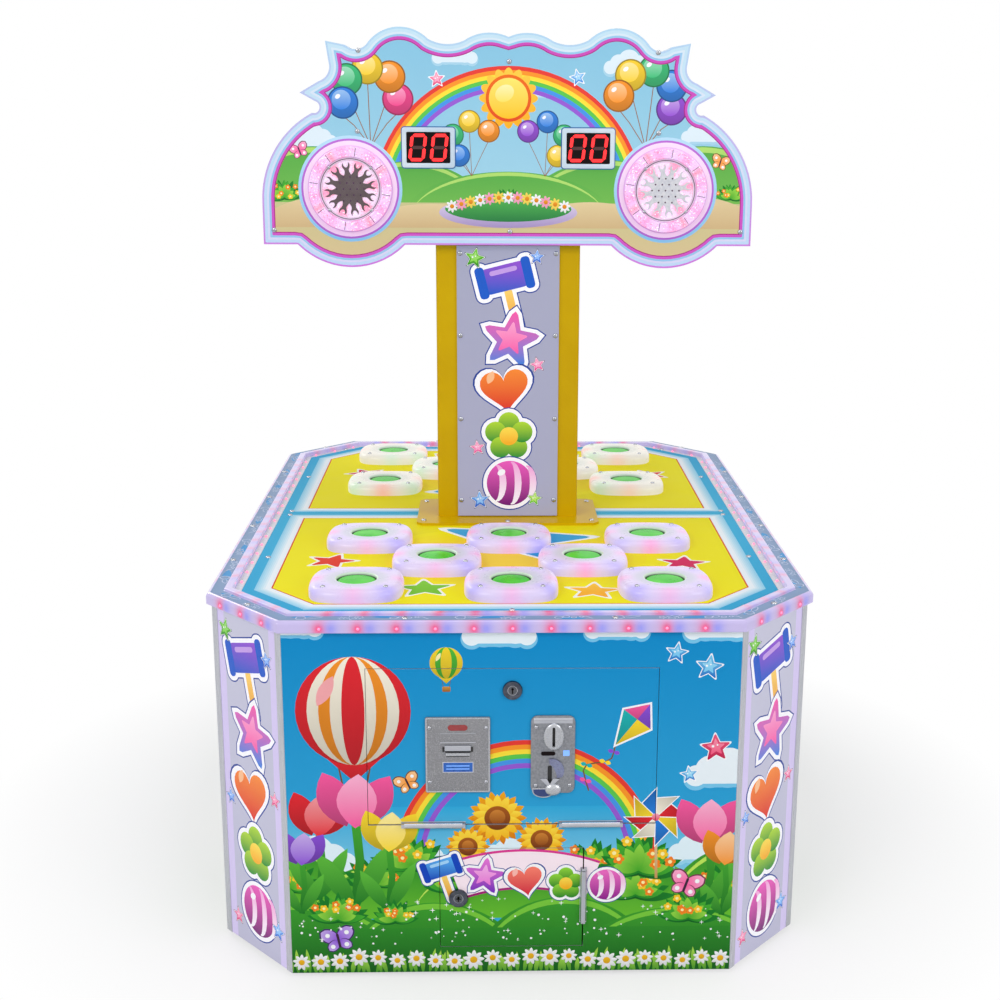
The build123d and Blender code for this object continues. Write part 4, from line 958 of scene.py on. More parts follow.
def sideFilms():
    chance, half = random.Random(31).uniform, machine["sideHalf"]
    art = meadow(half, chance)
    for k in range(7):
        skyCloud(art, -460 + 155 * k, 546 + chance(-8, 8), chance(28, 38))
    sun(art, 390, 440, 48)
    rainbow(art, -90, 150, 250, 54)
    each(balloon, art, (-330, 430, 78, "pink cream violet cream pink"),
        (-60, 470, 44, "yellow orange yellow"), (250, 460, 36, "blue cream blue"))
    kite(art, 120, 430, 50, "red yellow teal pink", -24, 9)
    pinwheel(art, 330, 280, 50, "pink cream teal yellow", 120)
    for k in range(7):
        bush(art, -450 + 150 * k, 150 + chance(-8, 8), chance(54, 76), chance)
    each(sunflower, art, (-230, 250, 44), (-160, 214, 36), (90, 240, 40), (440, 240, 34))
    for k, name in enumerate("pink red yellow violet orange pink red violet".split()):
        tulip(art, -480 + 135 * k, 100, chance(100, 140), name, chance(-8, 8))
    for k, colour in enumerate(inksOf("pink orange violet teal red")):
        butterfly(art, -400 + 200 * k, chance(250, 340), 28, colour, chance(-30, 30))
    rowOfSigns(art, -170, 104, 85, 66)
    foreground(art, half, chance)
    cut = cutFilm(art, panelBox(half))
    for name, side in (("rightSideFilm", 1), ("leftSideFilm", -1)):
        plane = (side * (halfX + machine["filmLift"]), 0, 0), (0, side, 0), upward
        layFilm(name, [cut], plane, "film")


def stackArt(half, low, high, size, stars, edge, paper):
    # five signs one above another on milky white, with small stars beside them and a lit edge
    art = Artwork()
    art.fill(box(-half, half, low, high), *paper)
    if edge:
        for side in (-1, 1):
            for k in range(5):
                tone = ((176, 128, 246), (214, 206, 240)) if k % 2 else ((214, 206, 240), (190, 140, 248))
                art.fill(box(*sorted((side * half, side * (half - edge))), low + (high - low) * k / 5,
                    low + (high - low) * (k + 1) / 5), *tone)
            art.fill(box(*sorted((side * (half - edge * 0.5), side * (half - edge * 1.3))), low, high),
                (214, 202, 240))
    for k, (sign, dark, pale, turn) in enumerate(signStack):
        sign(art, 6 * math.sin(2.2 * k), high - (high - low) / 5.6 * (k + 0.9), size, dark, pale, turn)
    for x, share, r, dark, pale in stars:
        plainStar(art, x, low + (high - low) * share, r, dark, pale, 12 * math.sin(x), 1.5,
            darker(dark, 0.55))
    return art


def cornerFilms():
    half = math.hypot(machine["cornerX"], machine["cornerY"]) / 2
    stars = [(-58, 0.94, 17, (30, 130, 30), (120, 210, 60)), (52, 0.9, 13, (40, 90, 200), (130, 180, 250)),
        (60, 0.5, 12, (220, 50, 120), (255, 150, 190)), (-62, 0.44, 12, (40, 90, 200), (130, 180, 250)),
        (-56, 0.07, 13, (220, 50, 120), (255, 150, 190)), (56, 0.1, 15, (50, 100, 210), (130, 190, 250))]
    art = stackArt(half, machine["foot"], machine["panelTop"], 84, stars, 24,
        ((190, 190, 212), (200, 200, 218)))
    cut = cutFilm(art, panelBox(half))
    for number, (a, b, along, _) in enumerate(sidesOf(corners(0))[1::2], start=1):
        middle = (a + b) / 2 + Vector((along.y, -along.x)) * machine["filmLift"]
        layFilm(f"cornerFilm{number}", [cut], ((*middle, 0), (*along, 0), upward), "litPrint")


def columnFilms():
    stars = [(-58, 0.955, 17, (30, 130, 30), (130, 215, 60)),
        (50, 0.96, 12, (40, 90, 200), (130, 180, 250)), (52, 0.57, 12, (230, 60, 140), (255, 160, 200)),
        (-54, 0.26, 12, (230, 60, 140), (255, 160, 200)), (-50, 0.06, 16, (40, 90, 200), (130, 190, 250)),
        (48, 0.065, 12, (90, 190, 40), (180, 230, 90))]
    half, low, high, face = 89, 575, 1055, 46
    art = stackArt(half, low, high, 82, stars, 0, ((172, 174, 200), (166, 168, 192)))
    cut = cutFilm(art, box(-half, half, low, high))
    for name, side in (("columnFilmFront", -1), ("columnFilmRear", 1)):
        layFilm(name, [cut], endPlane(side, face), "litPrint")


marquee = {"half": 417.5, "bottom": 1057, "height": 356, "face": 60, "speakerAt": (268, 1150),
    "displayAt": (135, 1219), "displayCut": (74, 51)}
# half the outline in shares, from its lower middle: straight runs, and arcs through two points
marqueeLine = [("line", (0.423, 0)), ("arc", (0.642, -0.107), (0.862, 0)), ("line", (1, 0), (1, 0.197)),
    ("arc", (0.955, 0.416), (0.79, 0.61)), ("arc", (0.758, 0.64), (0.776, 0.664)),
    ("line", (0.836, 0.702), (0.757, 0.755)), ("arc", (0.722, 0.788), (0.717, 0.84)),
    ("line", (0.729, 0.935), (0.65, 0.917)), ("arc", (0.6, 0.899), (0.56, 0.93)),
    ("arc", (0.436, 1), (0.321, 0.947)), ("arc", (0.24, 0.924), (0.177, 0.941)),
    ("arc", (0.09, 0.976), (0, 0.958))]


def throughThree(a, b, c, count=14):      # points on the circle through three
    (ax, ay), (bx, by), (cx, cy) = a, b, c
    d = 2 * (ax * (by - cy) + bx * (cy - ay) + cx * (ay - by))
    aa, bb, cc = [x * x + y * y for x, y in (a, b, c)]
    x = (aa * (by - cy) + bb * (cy - ay) + cc * (ay - by)) / d
    y = (aa * (cx - bx) + bb * (ax - cx) + cc * (bx - ax)) / d
    first, middle, last = [math.atan2(py - y, px - x) for px, py in (a, b, c)]
    around = (last - first) % (2 * math.pi)
    if (middle - first) % (2 * math.pi) > around:
        around -= 2 * math.pi
    return arcPath(x, y, math.hypot(ax - x, ay - y), math.degrees(first), math.degrees(first + around),
        count)


def marqueeOutline():
    half = [(0, marquee["bottom"])]
    for kind, *shares in marqueeLine:
        places = [(marquee["half"] * x, marquee["bottom"] + marquee["height"] * z) for x, z in shares]
        run = half[-1:] + places
        half += throughThree(*run)[1:] if kind == "arc" else run[1:]
    return half + [(-x, z) for x, z in half[-2:0:-1]]


def marqueeArt():
    chance, art = random.Random(5).uniform, Artwork()
    art.fill(box(-420, 420, 1010, 1420), (170, 216, 232), (132, 194, 222))
    for x, z, s in ((-330, 1230, 26), (-90, 1366, 24), (200, 1352, 26), (330, 1240, 24), (60, 1310, 18)):
        cloud(art, x, z, s, (168, 212, 232), (222, 238, 246))
    rainbow(art, 0, 1120, 232, 40, 12, 168)
    for x, wide, high in ((-330, 150, 120), (-170, 140, 96), (170, 150, 100), (330, 150, 124), (0, 180, 80)):
        hill(art, x, 1100, wide, high, (120, 190, 80), (84, 170, 70), (176, 220, 110))
    art.fill(box(-420, 420, 1010, 1128), (216, 190, 146), (200, 196, 140))
    for x, wide, high in ((-300, 120, 52), (300, 130, 56), (0, 210, 40), (-130, 120, 40), (140, 110, 44)):
        hill(art, x, 1086, wide, high, (206, 178, 130), (224, 204, 156))
    for x in (-380, -285, 0, 285, 380):
        bush(art, x, 1128 + chance(-6, 10), chance(26, 38), chance)
    sun(art, 0, 1300, 33)
    bright = [(240, 70, 140), (250, 150, 40), (250, 210, 50), (60, 190, 120), (50, 130, 220), (150, 80, 210)]
    each(ballBunch, art, (-232, 1290, 24, bright[:5], 4), (232, 1290, 24, bright[:0:-1], -14),
        (-62, 1222, 17, bright[1:5], 40), (62, 1222, 17, bright[2:], -40))
    art.fill(disc(0, 1112, 118, 0.22), (160, 140, 190), (226, 214, 240))
    art.fill(disc(0, 1118, 108, 0.2), (30, 120, 60), (80, 180, 80))
    for k in range(13):
        daisy(art, -96 + 16 * k, 1122 + 15 * math.sin(math.pi * k / 12), 11,
            [white, (255, 170, 200), (255, 222, 90)][k % 3], (240, 150, 30), 8)
    each(kite, art, (338, 1322, 22, "red yellow blue pink", 30, 7),
        (-344, 1318, 20, "violet yellow teal orange", -34, 7))
    each(butterfly, art, (-352, 1212, 18, inks["pink"], 20), (360, 1196, 18, inks["orange"], -16))
    for x, z, r, low, high in ((-120, 1330, 12, (230, 60, 120), (255, 160, 190)),
            (116, 1334, 12, (50, 130, 220), (150, 210, 250)),
            (-290, 1360, 10, (80, 180, 60), (180, 230, 90)),
            (292, 1358, 10, (150, 80, 210), (220, 170, 250))):
        plainStar(art, x, z, r, low, high, chance(-15, 15), 1.6)
    x, z = marquee["speakerAt"]
    for side in (-1, 1):
        for r, low, high in ((88, (130, 190, 232), (186, 224, 246)), (83, (168, 96, 196), (190, 110, 214)),
                (79.5, (236, 202, 236), (248, 226, 246)), (72, (206, 150, 214), (232, 190, 236))):
            art.fill(disc(side * x, z, r, count=56), low, high)
        art.fill(roundBox(side * marquee["displayAt"][0], marquee["displayAt"][1], 92.5, 69.5, 6),
            (52, 104, 166))
    return art


def marqueeBands(outline):      # coloured lines that follow the marquee's edge
    bands = Artwork()
    bands.fill(outline, (206, 120, 220), (176, 216, 238))
    for distance, low, high in ((3, (190, 214, 242), (196, 226, 240)),
            (8, (214, 212, 242), (214, 232, 242)), (11.5, (150, 196, 232), (150, 200, 234)),
            (15, (206, 84, 196), (206, 76, 184)), (19.5, (170, 24, 120), (166, 30, 128))):
        bands.fill(inset(outline, distance), low, high)
    return bands


def marqueeFilms():
    outline = marqueeOutline()
    inner = inset(outline, 21)
    (sx, sz), (dx, dz) = marquee["speakerAt"], marquee["displayAt"]
    holes = [disc(side * sx, sz, 52.5, count=48) for side in (-1, 1)]
    windows = [boxAt(side * dx, dz, *marquee["displayCut"]) for side in (-1, 1)]
    cuts = [cutFilm(marqueeBands(outline), outline, [inner] + holes),
        cutFilm(marqueeArt(), inner, holes + windows)]
    for name, side in (("marqueeFilmFront", -1), ("marqueeFilmRear", 1)):
        layFilm(name, cuts, endPlane(side, marquee["face"]), "litPrint")


# how far each border of the deck's print lies from the rim's lip, and from the line between the players
deckPrint = {"edge": 42, "blue": (18, 12), "pale": (34, 26), "white": (43, 36), "line": (45.5, 38)}


def deckField(distance, middle):
    (x1, y1), (x2, y2) = corners(deckPrint["edge"] + distance)[1:3]
    return [(-x2, -middle), (-x2, y2), (-x1, y1), (x1, y1), (x2, y2), (x2, -middle)]


def deckArt():
    art = Artwork()
    art.fill(deckField(0, 0), (44, 166, 214), (58, 178, 222))
    for share in [step / 5 for step in range(6)]:      # pale blue that fades into white
        edge = [a + (b - a) * share for a, b in zip(deckPrint["blue"], deckPrint["pale"])]
        art.fill(deckField(*edge), [a + (b - a) * share for a, b in ((150, 236), (210, 245), (238, 252))])
    art.fill(deckField(*deckPrint["white"]), (214, 84, 30))
    art.fill(deckField(*deckPrint["line"]), (244, 234, 0), (238, 226, 2))
    for share in [step / 6 for step in range(7)]:      # lemon that turns golden in the middle
        art.fill(disc(0, -300, 250 - 130 * share, 0.78, 6), (244, 232 - 24 * share, 2 + 60 * share))
    art.fill(star(8, -185, 152, 60), (244, 249, 250))
    art.fill(star(8, -185, 134, 60), (30, 150, 214), (70, 178, 226))
    for x, y, r, low, high, turn in ((-290, -322, 38, (222, 46, 30), (232, 66, 44), 200),
            (283, -336, 37, (206, 20, 84), (222, 34, 100), -10),
            (-133, -477, 42, (110, 190, 44), (130, 205, 54), 4),
            (126, -492, 39, (250, 168, 30), (252, 200, 60), -6)):
        art.fill(star(x, y, r + 10, turn), (246, 248, 240))
        art.fill(star(x, y, r, turn), low, high)
    return art


def deckFilms():
    holes = [boxAt(x, y, 101, 101) for x, y in rowPlaces]
    cut = cutFilm(deckArt(), deckField(0, 0.25), holes)
    for name, side in (("deckFilmFront", 1), ("deckFilmRear", -1)):
        plane = (0, 0, machine["deckTop"] + machine["filmLift"]), (side, 0, 0), (0, side, 0)
        layFilm(name, [cut], plane, "deckFilm")


frontFilms()
rearFilms()
sideFilms()
cornerFilms()
columnFilms()
marqueeFilms()
deckFilms()
print("films laid")


class Grower:      # a Geometry Nodes tree with named inputs
    def __init__(self, name, **inputs):
        self.tree = bpy.data.node_groups.new(name, "GeometryNodeTree")
        self.tree.interface.new_socket("Geometry", in_out="OUTPUT", socket_type="NodeSocketGeometry")
        for key, kind in inputs.items():
            self.tree.interface.new_socket(key, in_out="INPUT", socket_type="NodeSocket" + kind)
        self.given = self.add("NodeGroupInput")

    def add(self, kind, inputs=None, **settings):
        node = self.tree.nodes.new(kind)
        for key, value in settings.items():
            setattr(node, key, value)
        for key, value in (inputs or {}).items():
            if isinstance(value, bpy.types.NodeSocket):
                self.tree.links.new(value, node.inputs[key])
            else:
                node.inputs[key].default_value = value
        return node.outputs

    def math(self, operation, first, second):
        return self.add("ShaderNodeMath", {0: first, 1: second}, operation=operation)[0]

    def close(self, geometry):
        finished = self.add("GeometryNodeSetMaterial",
            {"Geometry": geometry, "Material": self.given["Finish"]})
        self.add("NodeGroupOutput", {0: finished[0]})

    def grow(self, holder, name, **inputs):      # runs the tree on holder and keeps the result as its mesh
        modifier = holder.modifiers.new("grow", "NODES")
        modifier.node_group = self.tree
        keys = {item.name: item.identifier for item in self.tree.interface.items_tree
            if item.in_out == "INPUT"}
        for key, value in inputs.items():
            modifier[keys[key]] = value
        mesh = plainMesh(holder, name)
        holder.modifiers.remove(modifier)
        bpy.data.objects.remove(holder)
        return linked(name, mesh)


def onPointsTree():
    # copies of one piece on a mesh's points, turned to the points' facing and set round it by chance
    tree = Grower("piecesOnPoints", Points="Geometry", Piece="Object", Size="Float", Turns="Int",
        Seed="Int", Finish="Material")
    given = tree.given
    facing = tree.add("GeometryNodeInputNamedAttribute", {"Name": "facing"}, data_type="FLOAT_VECTOR")
    upright = tree.add("FunctionNodeAlignRotationToVector", {"Vector": facing["Attribute"]}, axis="Z")
    last = tree.math("SUBTRACT", given["Turns"], 1.0)
    chance = tree.add("FunctionNodeRandomValue", {"Seed": given["Seed"], 4: 0, 5: last}, data_type="INT")
    angle = tree.math("MULTIPLY", chance[2], tree.math("DIVIDE", 2 * math.pi, given["Turns"]))
    spin = tree.add("FunctionNodeEulerToRotation",
        {"Euler": tree.add("ShaderNodeCombineXYZ", {"Z": angle})[0]})
    turned = tree.add("FunctionNodeRotateRotation", {"Rotation": upright[0], "Rotate By": spin[0]},
        rotation_space="LOCAL")
    piece = tree.add("GeometryNodeObjectInfo", {"Object": given["Piece"]})
    copies = tree.add("GeometryNodeInstanceOnPoints",
        {"Points": given["Points"], "Instance": piece["Geometry"], "Rotation": turned[0],
        "Scale": given["Size"]})
    tree.close(tree.add("GeometryNodeRealizeInstances", {"Geometry": copies[0]})[0])
    return tree


def aroundAxisTree():
    # one sector copied round the Z axis and joined up
    tree = Grower("sectorsRound", Sector="Geometry", Count="Int", Join="Float", Finish="Material")
    given = tree.given
    start = tree.add("GeometryNodePoints", {"Count": given["Count"]})
    step = tree.math("DIVIDE", 2 * math.pi, given["Count"])
    angle = tree.math("MULTIPLY", tree.add("GeometryNodeInputIndex")[0], step)
    copies = tree.add("GeometryNodeInstanceOnPoints",
        {"Points": start[0], "Instance": given["Sector"],
        "Rotation": tree.add("ShaderNodeCombineXYZ", {"Z": angle})[0]})
    real = tree.add("GeometryNodeRealizeInstances", {"Geometry": copies[0]})
    joined = tree.add("GeometryNodeMergeByDistance", {"Geometry": real[0], "Distance": given["Join"]})
    tree.close(joined[0])
    return tree


onPoints, aroundAxis = onPointsTree(), aroundAxisTree()


def scatter(name, pattern, spots, size, finish, turns=360, seed=1):      # spots are (x, y, z, facing)
    holder = addMesh(name + "Spots", [spot[:3] for spot in spots], [], finishes[finish])
    facing = holder.data.attributes.new("facing", "FLOAT_VECTOR", "POINT")
    facing.data.foreach_set("vector", [c for spot in spots for c in spot[3]])
    return onPoints.grow(holder, name, Piece=pattern, Size=size * 0.001, Turns=turns, Seed=seed,
        Finish=finishes[finish])


def lathe(profile, count=32, closed=False):
    # points (radius, height) turned round Z, with single points where the radius is 0
    points, rings, faces = [], [], []
    for r, z in profile:
        around = count if r else 1
        rings.append(list(range(len(points), len(points) + around)))
        points += [(*polar(r, 360 * i / count), z) for i in range(around)]
    for a, b in zip(rings, rings[1:] + rings[:1] if closed else rings[1:]):
        for i in range(count):
            j = (i + 1) % count
            if len(a) == 1:
                faces.append((a[0], b[j], b[i]))
            elif len(b) == 1:
                faces.append((a[i], a[j], b[0]))
            else:
                faces.append((a[i], a[j], b[j], b[i]))
    return points, faces


def joined(parts):
    points, faces = [], []
    for some, someFaces in parts:
        faces += [tuple(i + len(points) for i in face) for face in someFaces]
        points += list(some)
    return points, faces


def moved(part, place=(0, 0, 0), turn=None):
    points, faces = part
    return [tuple((turn @ Vector(p) if turn else Vector(p)) + Vector(place)) for p in points], faces


def stretched(part, x, y, z):
    points, faces = part
    return [(px * x, py * y, pz * z) for px, py, pz in points], faces


# turns a part that looks along +Z to look out of the front, or rear
def faceFront(part, x, y, z, side=-1):
    return moved(part, (x, y, z), Matrix(((-side, 0, 0), (0, 0, side), (0, 1, 0))))


def block(x0, x1, y0, y1, z0, z1):
    points = [(x, y, z) for z in (z0, z1) for y in (y0, y1) for x in (x0, x1)]
    return points, [(0, 2, 3, 1), (4, 5, 7, 6), (0, 1, 5, 4), (2, 6, 7, 3), (0, 4, 6, 2), (1, 3, 7, 5)]


# faces between total closed loops of wide points each, the last joined to the first
def ringed(wide, total):
    faces = []
    for i in range(total):
        for k in range(wide):
            j, m = (i + 1) % total, (k + 1) % wide
            faces.append((i * wide + k, j * wide + k, j * wide + m, i * wide + m))
    return faces


def plate(outline, z0, z1, holes=()):
    # a flat piece with openings, drawn in x and y and as thick as z0 to z1
    loops, points = [], []
    for line in [anticlockwise(loop) for loop in (outline, *holes)]:
        loops.append(list(range(len(points), len(points) + len(line))))
        points += [Vector(p) for p in line]
    found, _, triangles, _, _, sources = delaunay_2d_cdt(points, [], loops, 0, 1e-4)
    top = [tuple(t) for t, source in zip(triangles, sources) if list(source) == [0]]
    top = [t if area([tuple(found[i]) for i in t]) > 0 else t[::-1] for t in top]
    count = len(found)
    solid = [(p[0], p[1], z) for z in (z1, z0) for p in found]
    edges = {edge for a, b, c in top for edge in ((a, b), (b, c), (c, a))}
    faces = top + [tuple(i + count for i in t[::-1]) for t in top]
    return solid, faces + [(a, a + count, b + count, b) for a, b in sorted(edges) if (b, a) not in edges]


def makeScrew():
    # a pan head of radius 1 with a cross in it
    slotHalf = math.degrees(0.165)
    angles = [a for k in range(4) for a in (90 * k + slotHalf, 90 * k + 45, 90 * (k + 1) - slotHalf)]
    points = [(*polar(r, a), z) for r, z in ((1, 0), (1, 0.16), (0.82, 0.42), (0.52, 0.55)) for a in angles]
    for reach, z in ((0.44, 0.56), (0.40, 0.28)):
        points += [(*polar(0.11 if k % 3 == 1 else reach, a), z) for k, a in enumerate(angles)]
    count = len(angles)
    faces = [(ring * count + i, ring * count + (i + 1) % count, (ring + 1) * count + (i + 1) % count,
        (ring + 1) * count + i) for ring in range(5) for i in range(count)]
    faces.append(tuple(range(5 * count, 6 * count)))
    return smooth(addMesh("screwPattern", points, faces, finishes["bright_metal"], 1), 50)


def makeLamp():
    part = lathe([(1, 0), (0.8, 0.45), (0.4, 0.72), (0, 0.8)], 10)
    return smooth(addMesh("lampPattern", *part, finishes["pinkLamp"], 1), 80)


patterns = {"screw": makeScrew(), "lamp": makeLamp()}
screwSize = {"deck": 4.6, "rim": 4.8, "small": 3.2, "panel": 4.4, "grille": 3.1, "ring": 4.0}


def setScrews(name, spots, kind, body="cabinet"):
    settle(scatter(name, patterns["screw"], spots, screwSize[kind], "screw"), body)


rimShape = {"overhang": 8.5, "band": 26, "lip": 12, "light": 12, "low": 554, "edgeTop": 566, "top": 572,
    "lipTop": 576, "floor": 566.4, "round": 6, "pitch": 55.4, "step": 4, "lampZ": 560.5, "innerLamps": 35.5,
    "lipGlow": 23.5, "lamp": 2.2}


def rimProfile():
    # (inset, height, zone): zone 0 the lit rail, 1 the printed band, 2 the lamp board, 3 the hidden board
    out, r, low = -rimShape["overhang"], rimShape["round"], rimShape["low"]
    lipOut = rimShape["band"] - rimShape["overhang"]
    lipIn = lipOut + rimShape["lip"]
    top, lip, floor = rimShape["top"], rimShape["lipTop"], rimShape["floor"]
    profile = [(out + 0.6, low, 0)]
    profile += [(out, low + up, 0) for up in (0.8, 2.4, 4, 5.6, 7.2, 8.8, 10.4)]
    for a in (0, 22, 45, 68):
        across, up = polar(r, a)
        profile.append((out + r - across, rimShape["edgeTop"] + up, 0))
    profile += [(out + r, top, 1), (lipOut - 0.6, top, 0), (lipOut, top + 0.5, 0), (lipOut, lip - 1, 0),
        (lipOut + 0.4, lip - 0.3, 0)]
    profile += [(lipOut + across, lip, 0) for across in (1.2, 3.5, 6, 8.5, rimShape["lip"] - 1.2)]
    profile += [(lipIn - 0.3, lip - 0.4, 0), (lipIn, lip - 1.2, 0)]
    profile += [(lipIn + across, floor, 2) for across in (0, 2.5, 4.5, 6, 7.5, 9.5)]
    inner = lipIn + rimShape["light"]
    return profile + [(inner, floor, 3), (inner, low, 3)]


def lampRow(distance):      # places along each side, as (x, y, outward)
    found = []
    for a, b, along, length in sidesOf(corners(distance)):
        count = int((length / 2 - 12) / rimShape["pitch"])
        for k in range(-count, count + 1):
            spot = (a + b) / 2 + along * k * rimShape["pitch"]
            found.append((spot.x, spot.y, (along.y, -along.x, 0)))
    return found


def fromLamp(along, half):      # how far a place along a side is from the nearest lamp
    pitch = rimShape["pitch"]
    count = int((half - 12) / pitch)
    return along - max(-count, min(count, round(along / pitch))) * pitch


def makeRim():
    profile = rimProfile()
    rails = [[Vector(p) for p in corners(distance)] for distance, _, _ in profile]
    points, glow, total = [], [], 0
    pink, blue, base = inkRows((240, 84, 138), (132, 142, 246), (198, 186, 232))
    for side, (a, b, _, length) in enumerate(sidesOf(rails[0])):
        count = max(2, int(length / rimShape["step"]))
        total += count
        for place in [j / count for j in range(count)]:
            along = (place - 0.5) * length
            near, beside = fromLamp(along, length / 2), fromLamp(along - 17, length / 2)
            for rail, (distance, z, _) in zip(rails, profile):
                spot = rail[side].lerp(rail[(side + 1) % 8], place)
                points.append((spot.x, spot.y, z))
                away = z - rimShape["lampZ"]
                if distance > 10:
                    away = min(abs(distance - rimShape["innerLamps"]), abs(distance - rimShape["lipGlow"]))
                share = 0.45 if distance > 10 and side % 4 else 1      # the lip looks clear along the sides
                warm = 0.8 * math.exp(-(near ** 2 + away ** 2) / 56) + 0.34 * math.exp(-(near / 14) ** 2)
                cool = 0.55 * math.exp(-(beside ** 2 + away ** 2) / 70) + 0.2 * math.exp(-(beside / 13) ** 2)
                tone = base + (pink - base) * min(1, share * warm)
                glow.append(tone + (blue - tone) * share * cool)
    board = finishes["deck_board"]
    piece = addMesh("litRim", points, ringed(len(profile), total),
        [finishes["rail"], board, finishes["rail"], board])
    piece.data.polygons.foreach_set("material_index", [zone for _, _, zone in profile] * total)
    settle(smooth(paintMesh(piece, "glow", glow), 40), "cabinet", ["deck_rim"])


def bandArt(length, chance):
    # blue bands with pale outlined motifs, laid end to end
    art, half = Artwork(), length / 2
    line, ground = (204, 214, 238), (124, 154, 194)
    art.fill(box(-half, half, -1, 21), (122, 150, 188), (136, 164, 200))
    x = -half + 30
    while x < half - 20:
        reach = chance(26, 44)
        art.fill(leaf(x - reach / 2, chance(6, 14), reach * 1.5, chance(10, 15), chance(-6, 6)),
            (40, 140, 206), (60, 160, 220))
        x += chance(110, 190)
    x, k = -half + 30, 0
    while x < half - 24:
        z = 10 + chance(-1, 1)
        if k % 3 == 0:
            for flower, reach, wide, tone in ((8.4, 27, 9, line), (6.9, 25.4, 6.4, ground)):
                art.fill(scallop(x, z, flower, 5, 0.16, 10 * k), tone)
                art.fill(leaf(x + 6, z, reach, wide, 12), tone)
        elif k % 3 == 1:
            turn = chance(0, 72)
            for off in (-14, 0, 12):
                for r, tone in ((9.2, line), (7.2, ground)):
                    art.fill(star(x + off, z + off / 9, r - abs(off) / 5, turn + off), tone)
        else:
            for step in range(4):
                for r, tone in ((6.6, line), (5.2, ground)):
                    art.fill(disc(x - 18 + 11 * step, z + 3 * (step % 2), r - step, 0.8, 20, 24), tone)
            art.fill(strip([(x + 16 + 2 * i, z + 4.5 * math.sin(i * 0.6)) for i in range(9)], 1.4), line)
        x += chance(66, 84)
        k += 1
    return art


def bandFilms():
    chance = random.Random(8).uniform
    outer = sidesOf(corners(rimShape["round"] - rimShape["overhang"] + 0.2))
    inner = sidesOf(corners(rimShape["band"] - rimShape["overhang"] - 1))
    for number, ((a, b, along, length), (c, d, _, _)) in enumerate(zip(outer, inner), start=1):
        middle, inward = (a + b) / 2, Vector((-along.y, along.x))
        region = [((p - middle).dot(along), (p - middle).dot(inward)) for p in (a, b, d, c)]
        plane = (*middle, rimShape["top"] + 0.15), (*along, 0), (*inward, 0)
        layFilm(f"bandFilm{number}", [cutFilm(bandArt(length, chance), region)], plane, "film")


def rimLamps():
    outer = [(x, y, rimShape["lampZ"], out) for x, y, out in lampRow(-rimShape["overhang"])]
    inner = [(x, y, 569, upward) for x, y, _ in lampRow(rimShape["innerLamps"])]
    for name, spots in (("railLampsOuter", outer), ("railLampsInner", inner)):
        settle(scatter(name, patterns["lamp"], spots, rimShape["lamp"], "pinkLamp"), "cabinet")


def catmull(points):      # a smooth closed line through points
    loop = []
    for i in range(len(points)):
        a, b, c, d = [np.array(points[(i + k) % len(points)]) for k in (-1, 0, 1, 2)]
        for t in (0, 0.25, 0.5, 0.75):
            loop.append(tuple(0.5 * (2 * b + (c - a) * t + (2 * a - 5 * b + 4 * c - d) * t * t
                + (3 * b - a - 3 * c + d) * t ** 3)))
    return loop


ringShape = {"half": 72, "bulge": 3, "run": 36, "bow": 6, "hole": 31, "screwAt": 47}
ringTones = {      # spots of light as (angle, width, colour, share)
    "front": {"base": (222, 208, 242), "middle": (202, 202, 220),
              "spots": [(-90, 13, (252, 164, 222), 0.8), (-52, 11, (190, 178, 255), 0.55),
                        (-130, 11, (192, 184, 255), 0.55), (0, 13, (250, 176, 226), 0.6),
                        (40, 12, (176, 166, 255), 0.7), (90, 12, (250, 170, 222), 0.6),
                        (140, 12, (178, 168, 255), 0.7), (180, 13, (250, 176, 226), 0.6)]},
    "rear": {"base": (236, 232, 220), "middle": (218, 218, 208),
             "spots": [(-90, 14, (255, 190, 176), 0.85), (-45, 14, (206, 240, 205), 0.7),
                       (-135, 14, (206, 240, 205), 0.7), (0, 14, (255, 206, 190), 0.6),
                       (90, 12, (255, 206, 200), 0.6), (180, 14, (206, 240, 215), 0.6)]}}


def bell(angle, middle, width):      # 1 at the middle angle and less round it, in degrees
    return math.exp(-(((angle - middle + 180) % 360 - 180) / width) ** 2)


def ringOutline():      # a pillow shape, bowed out on each side and at each corner
    half = ringShape["half"]
    flat, run = half - ringShape["bulge"], half - ringShape["run"]
    bow = (run + flat) / 2 + ringShape["bow"]
    quarter, outline = [(0, half), (run, flat), (bow, bow), (flat, run)], []
    for turn in range(4):
        outline += quarter
        quarter = [(y, -x) for x, y in quarter]
    return catmull(outline[::-1])


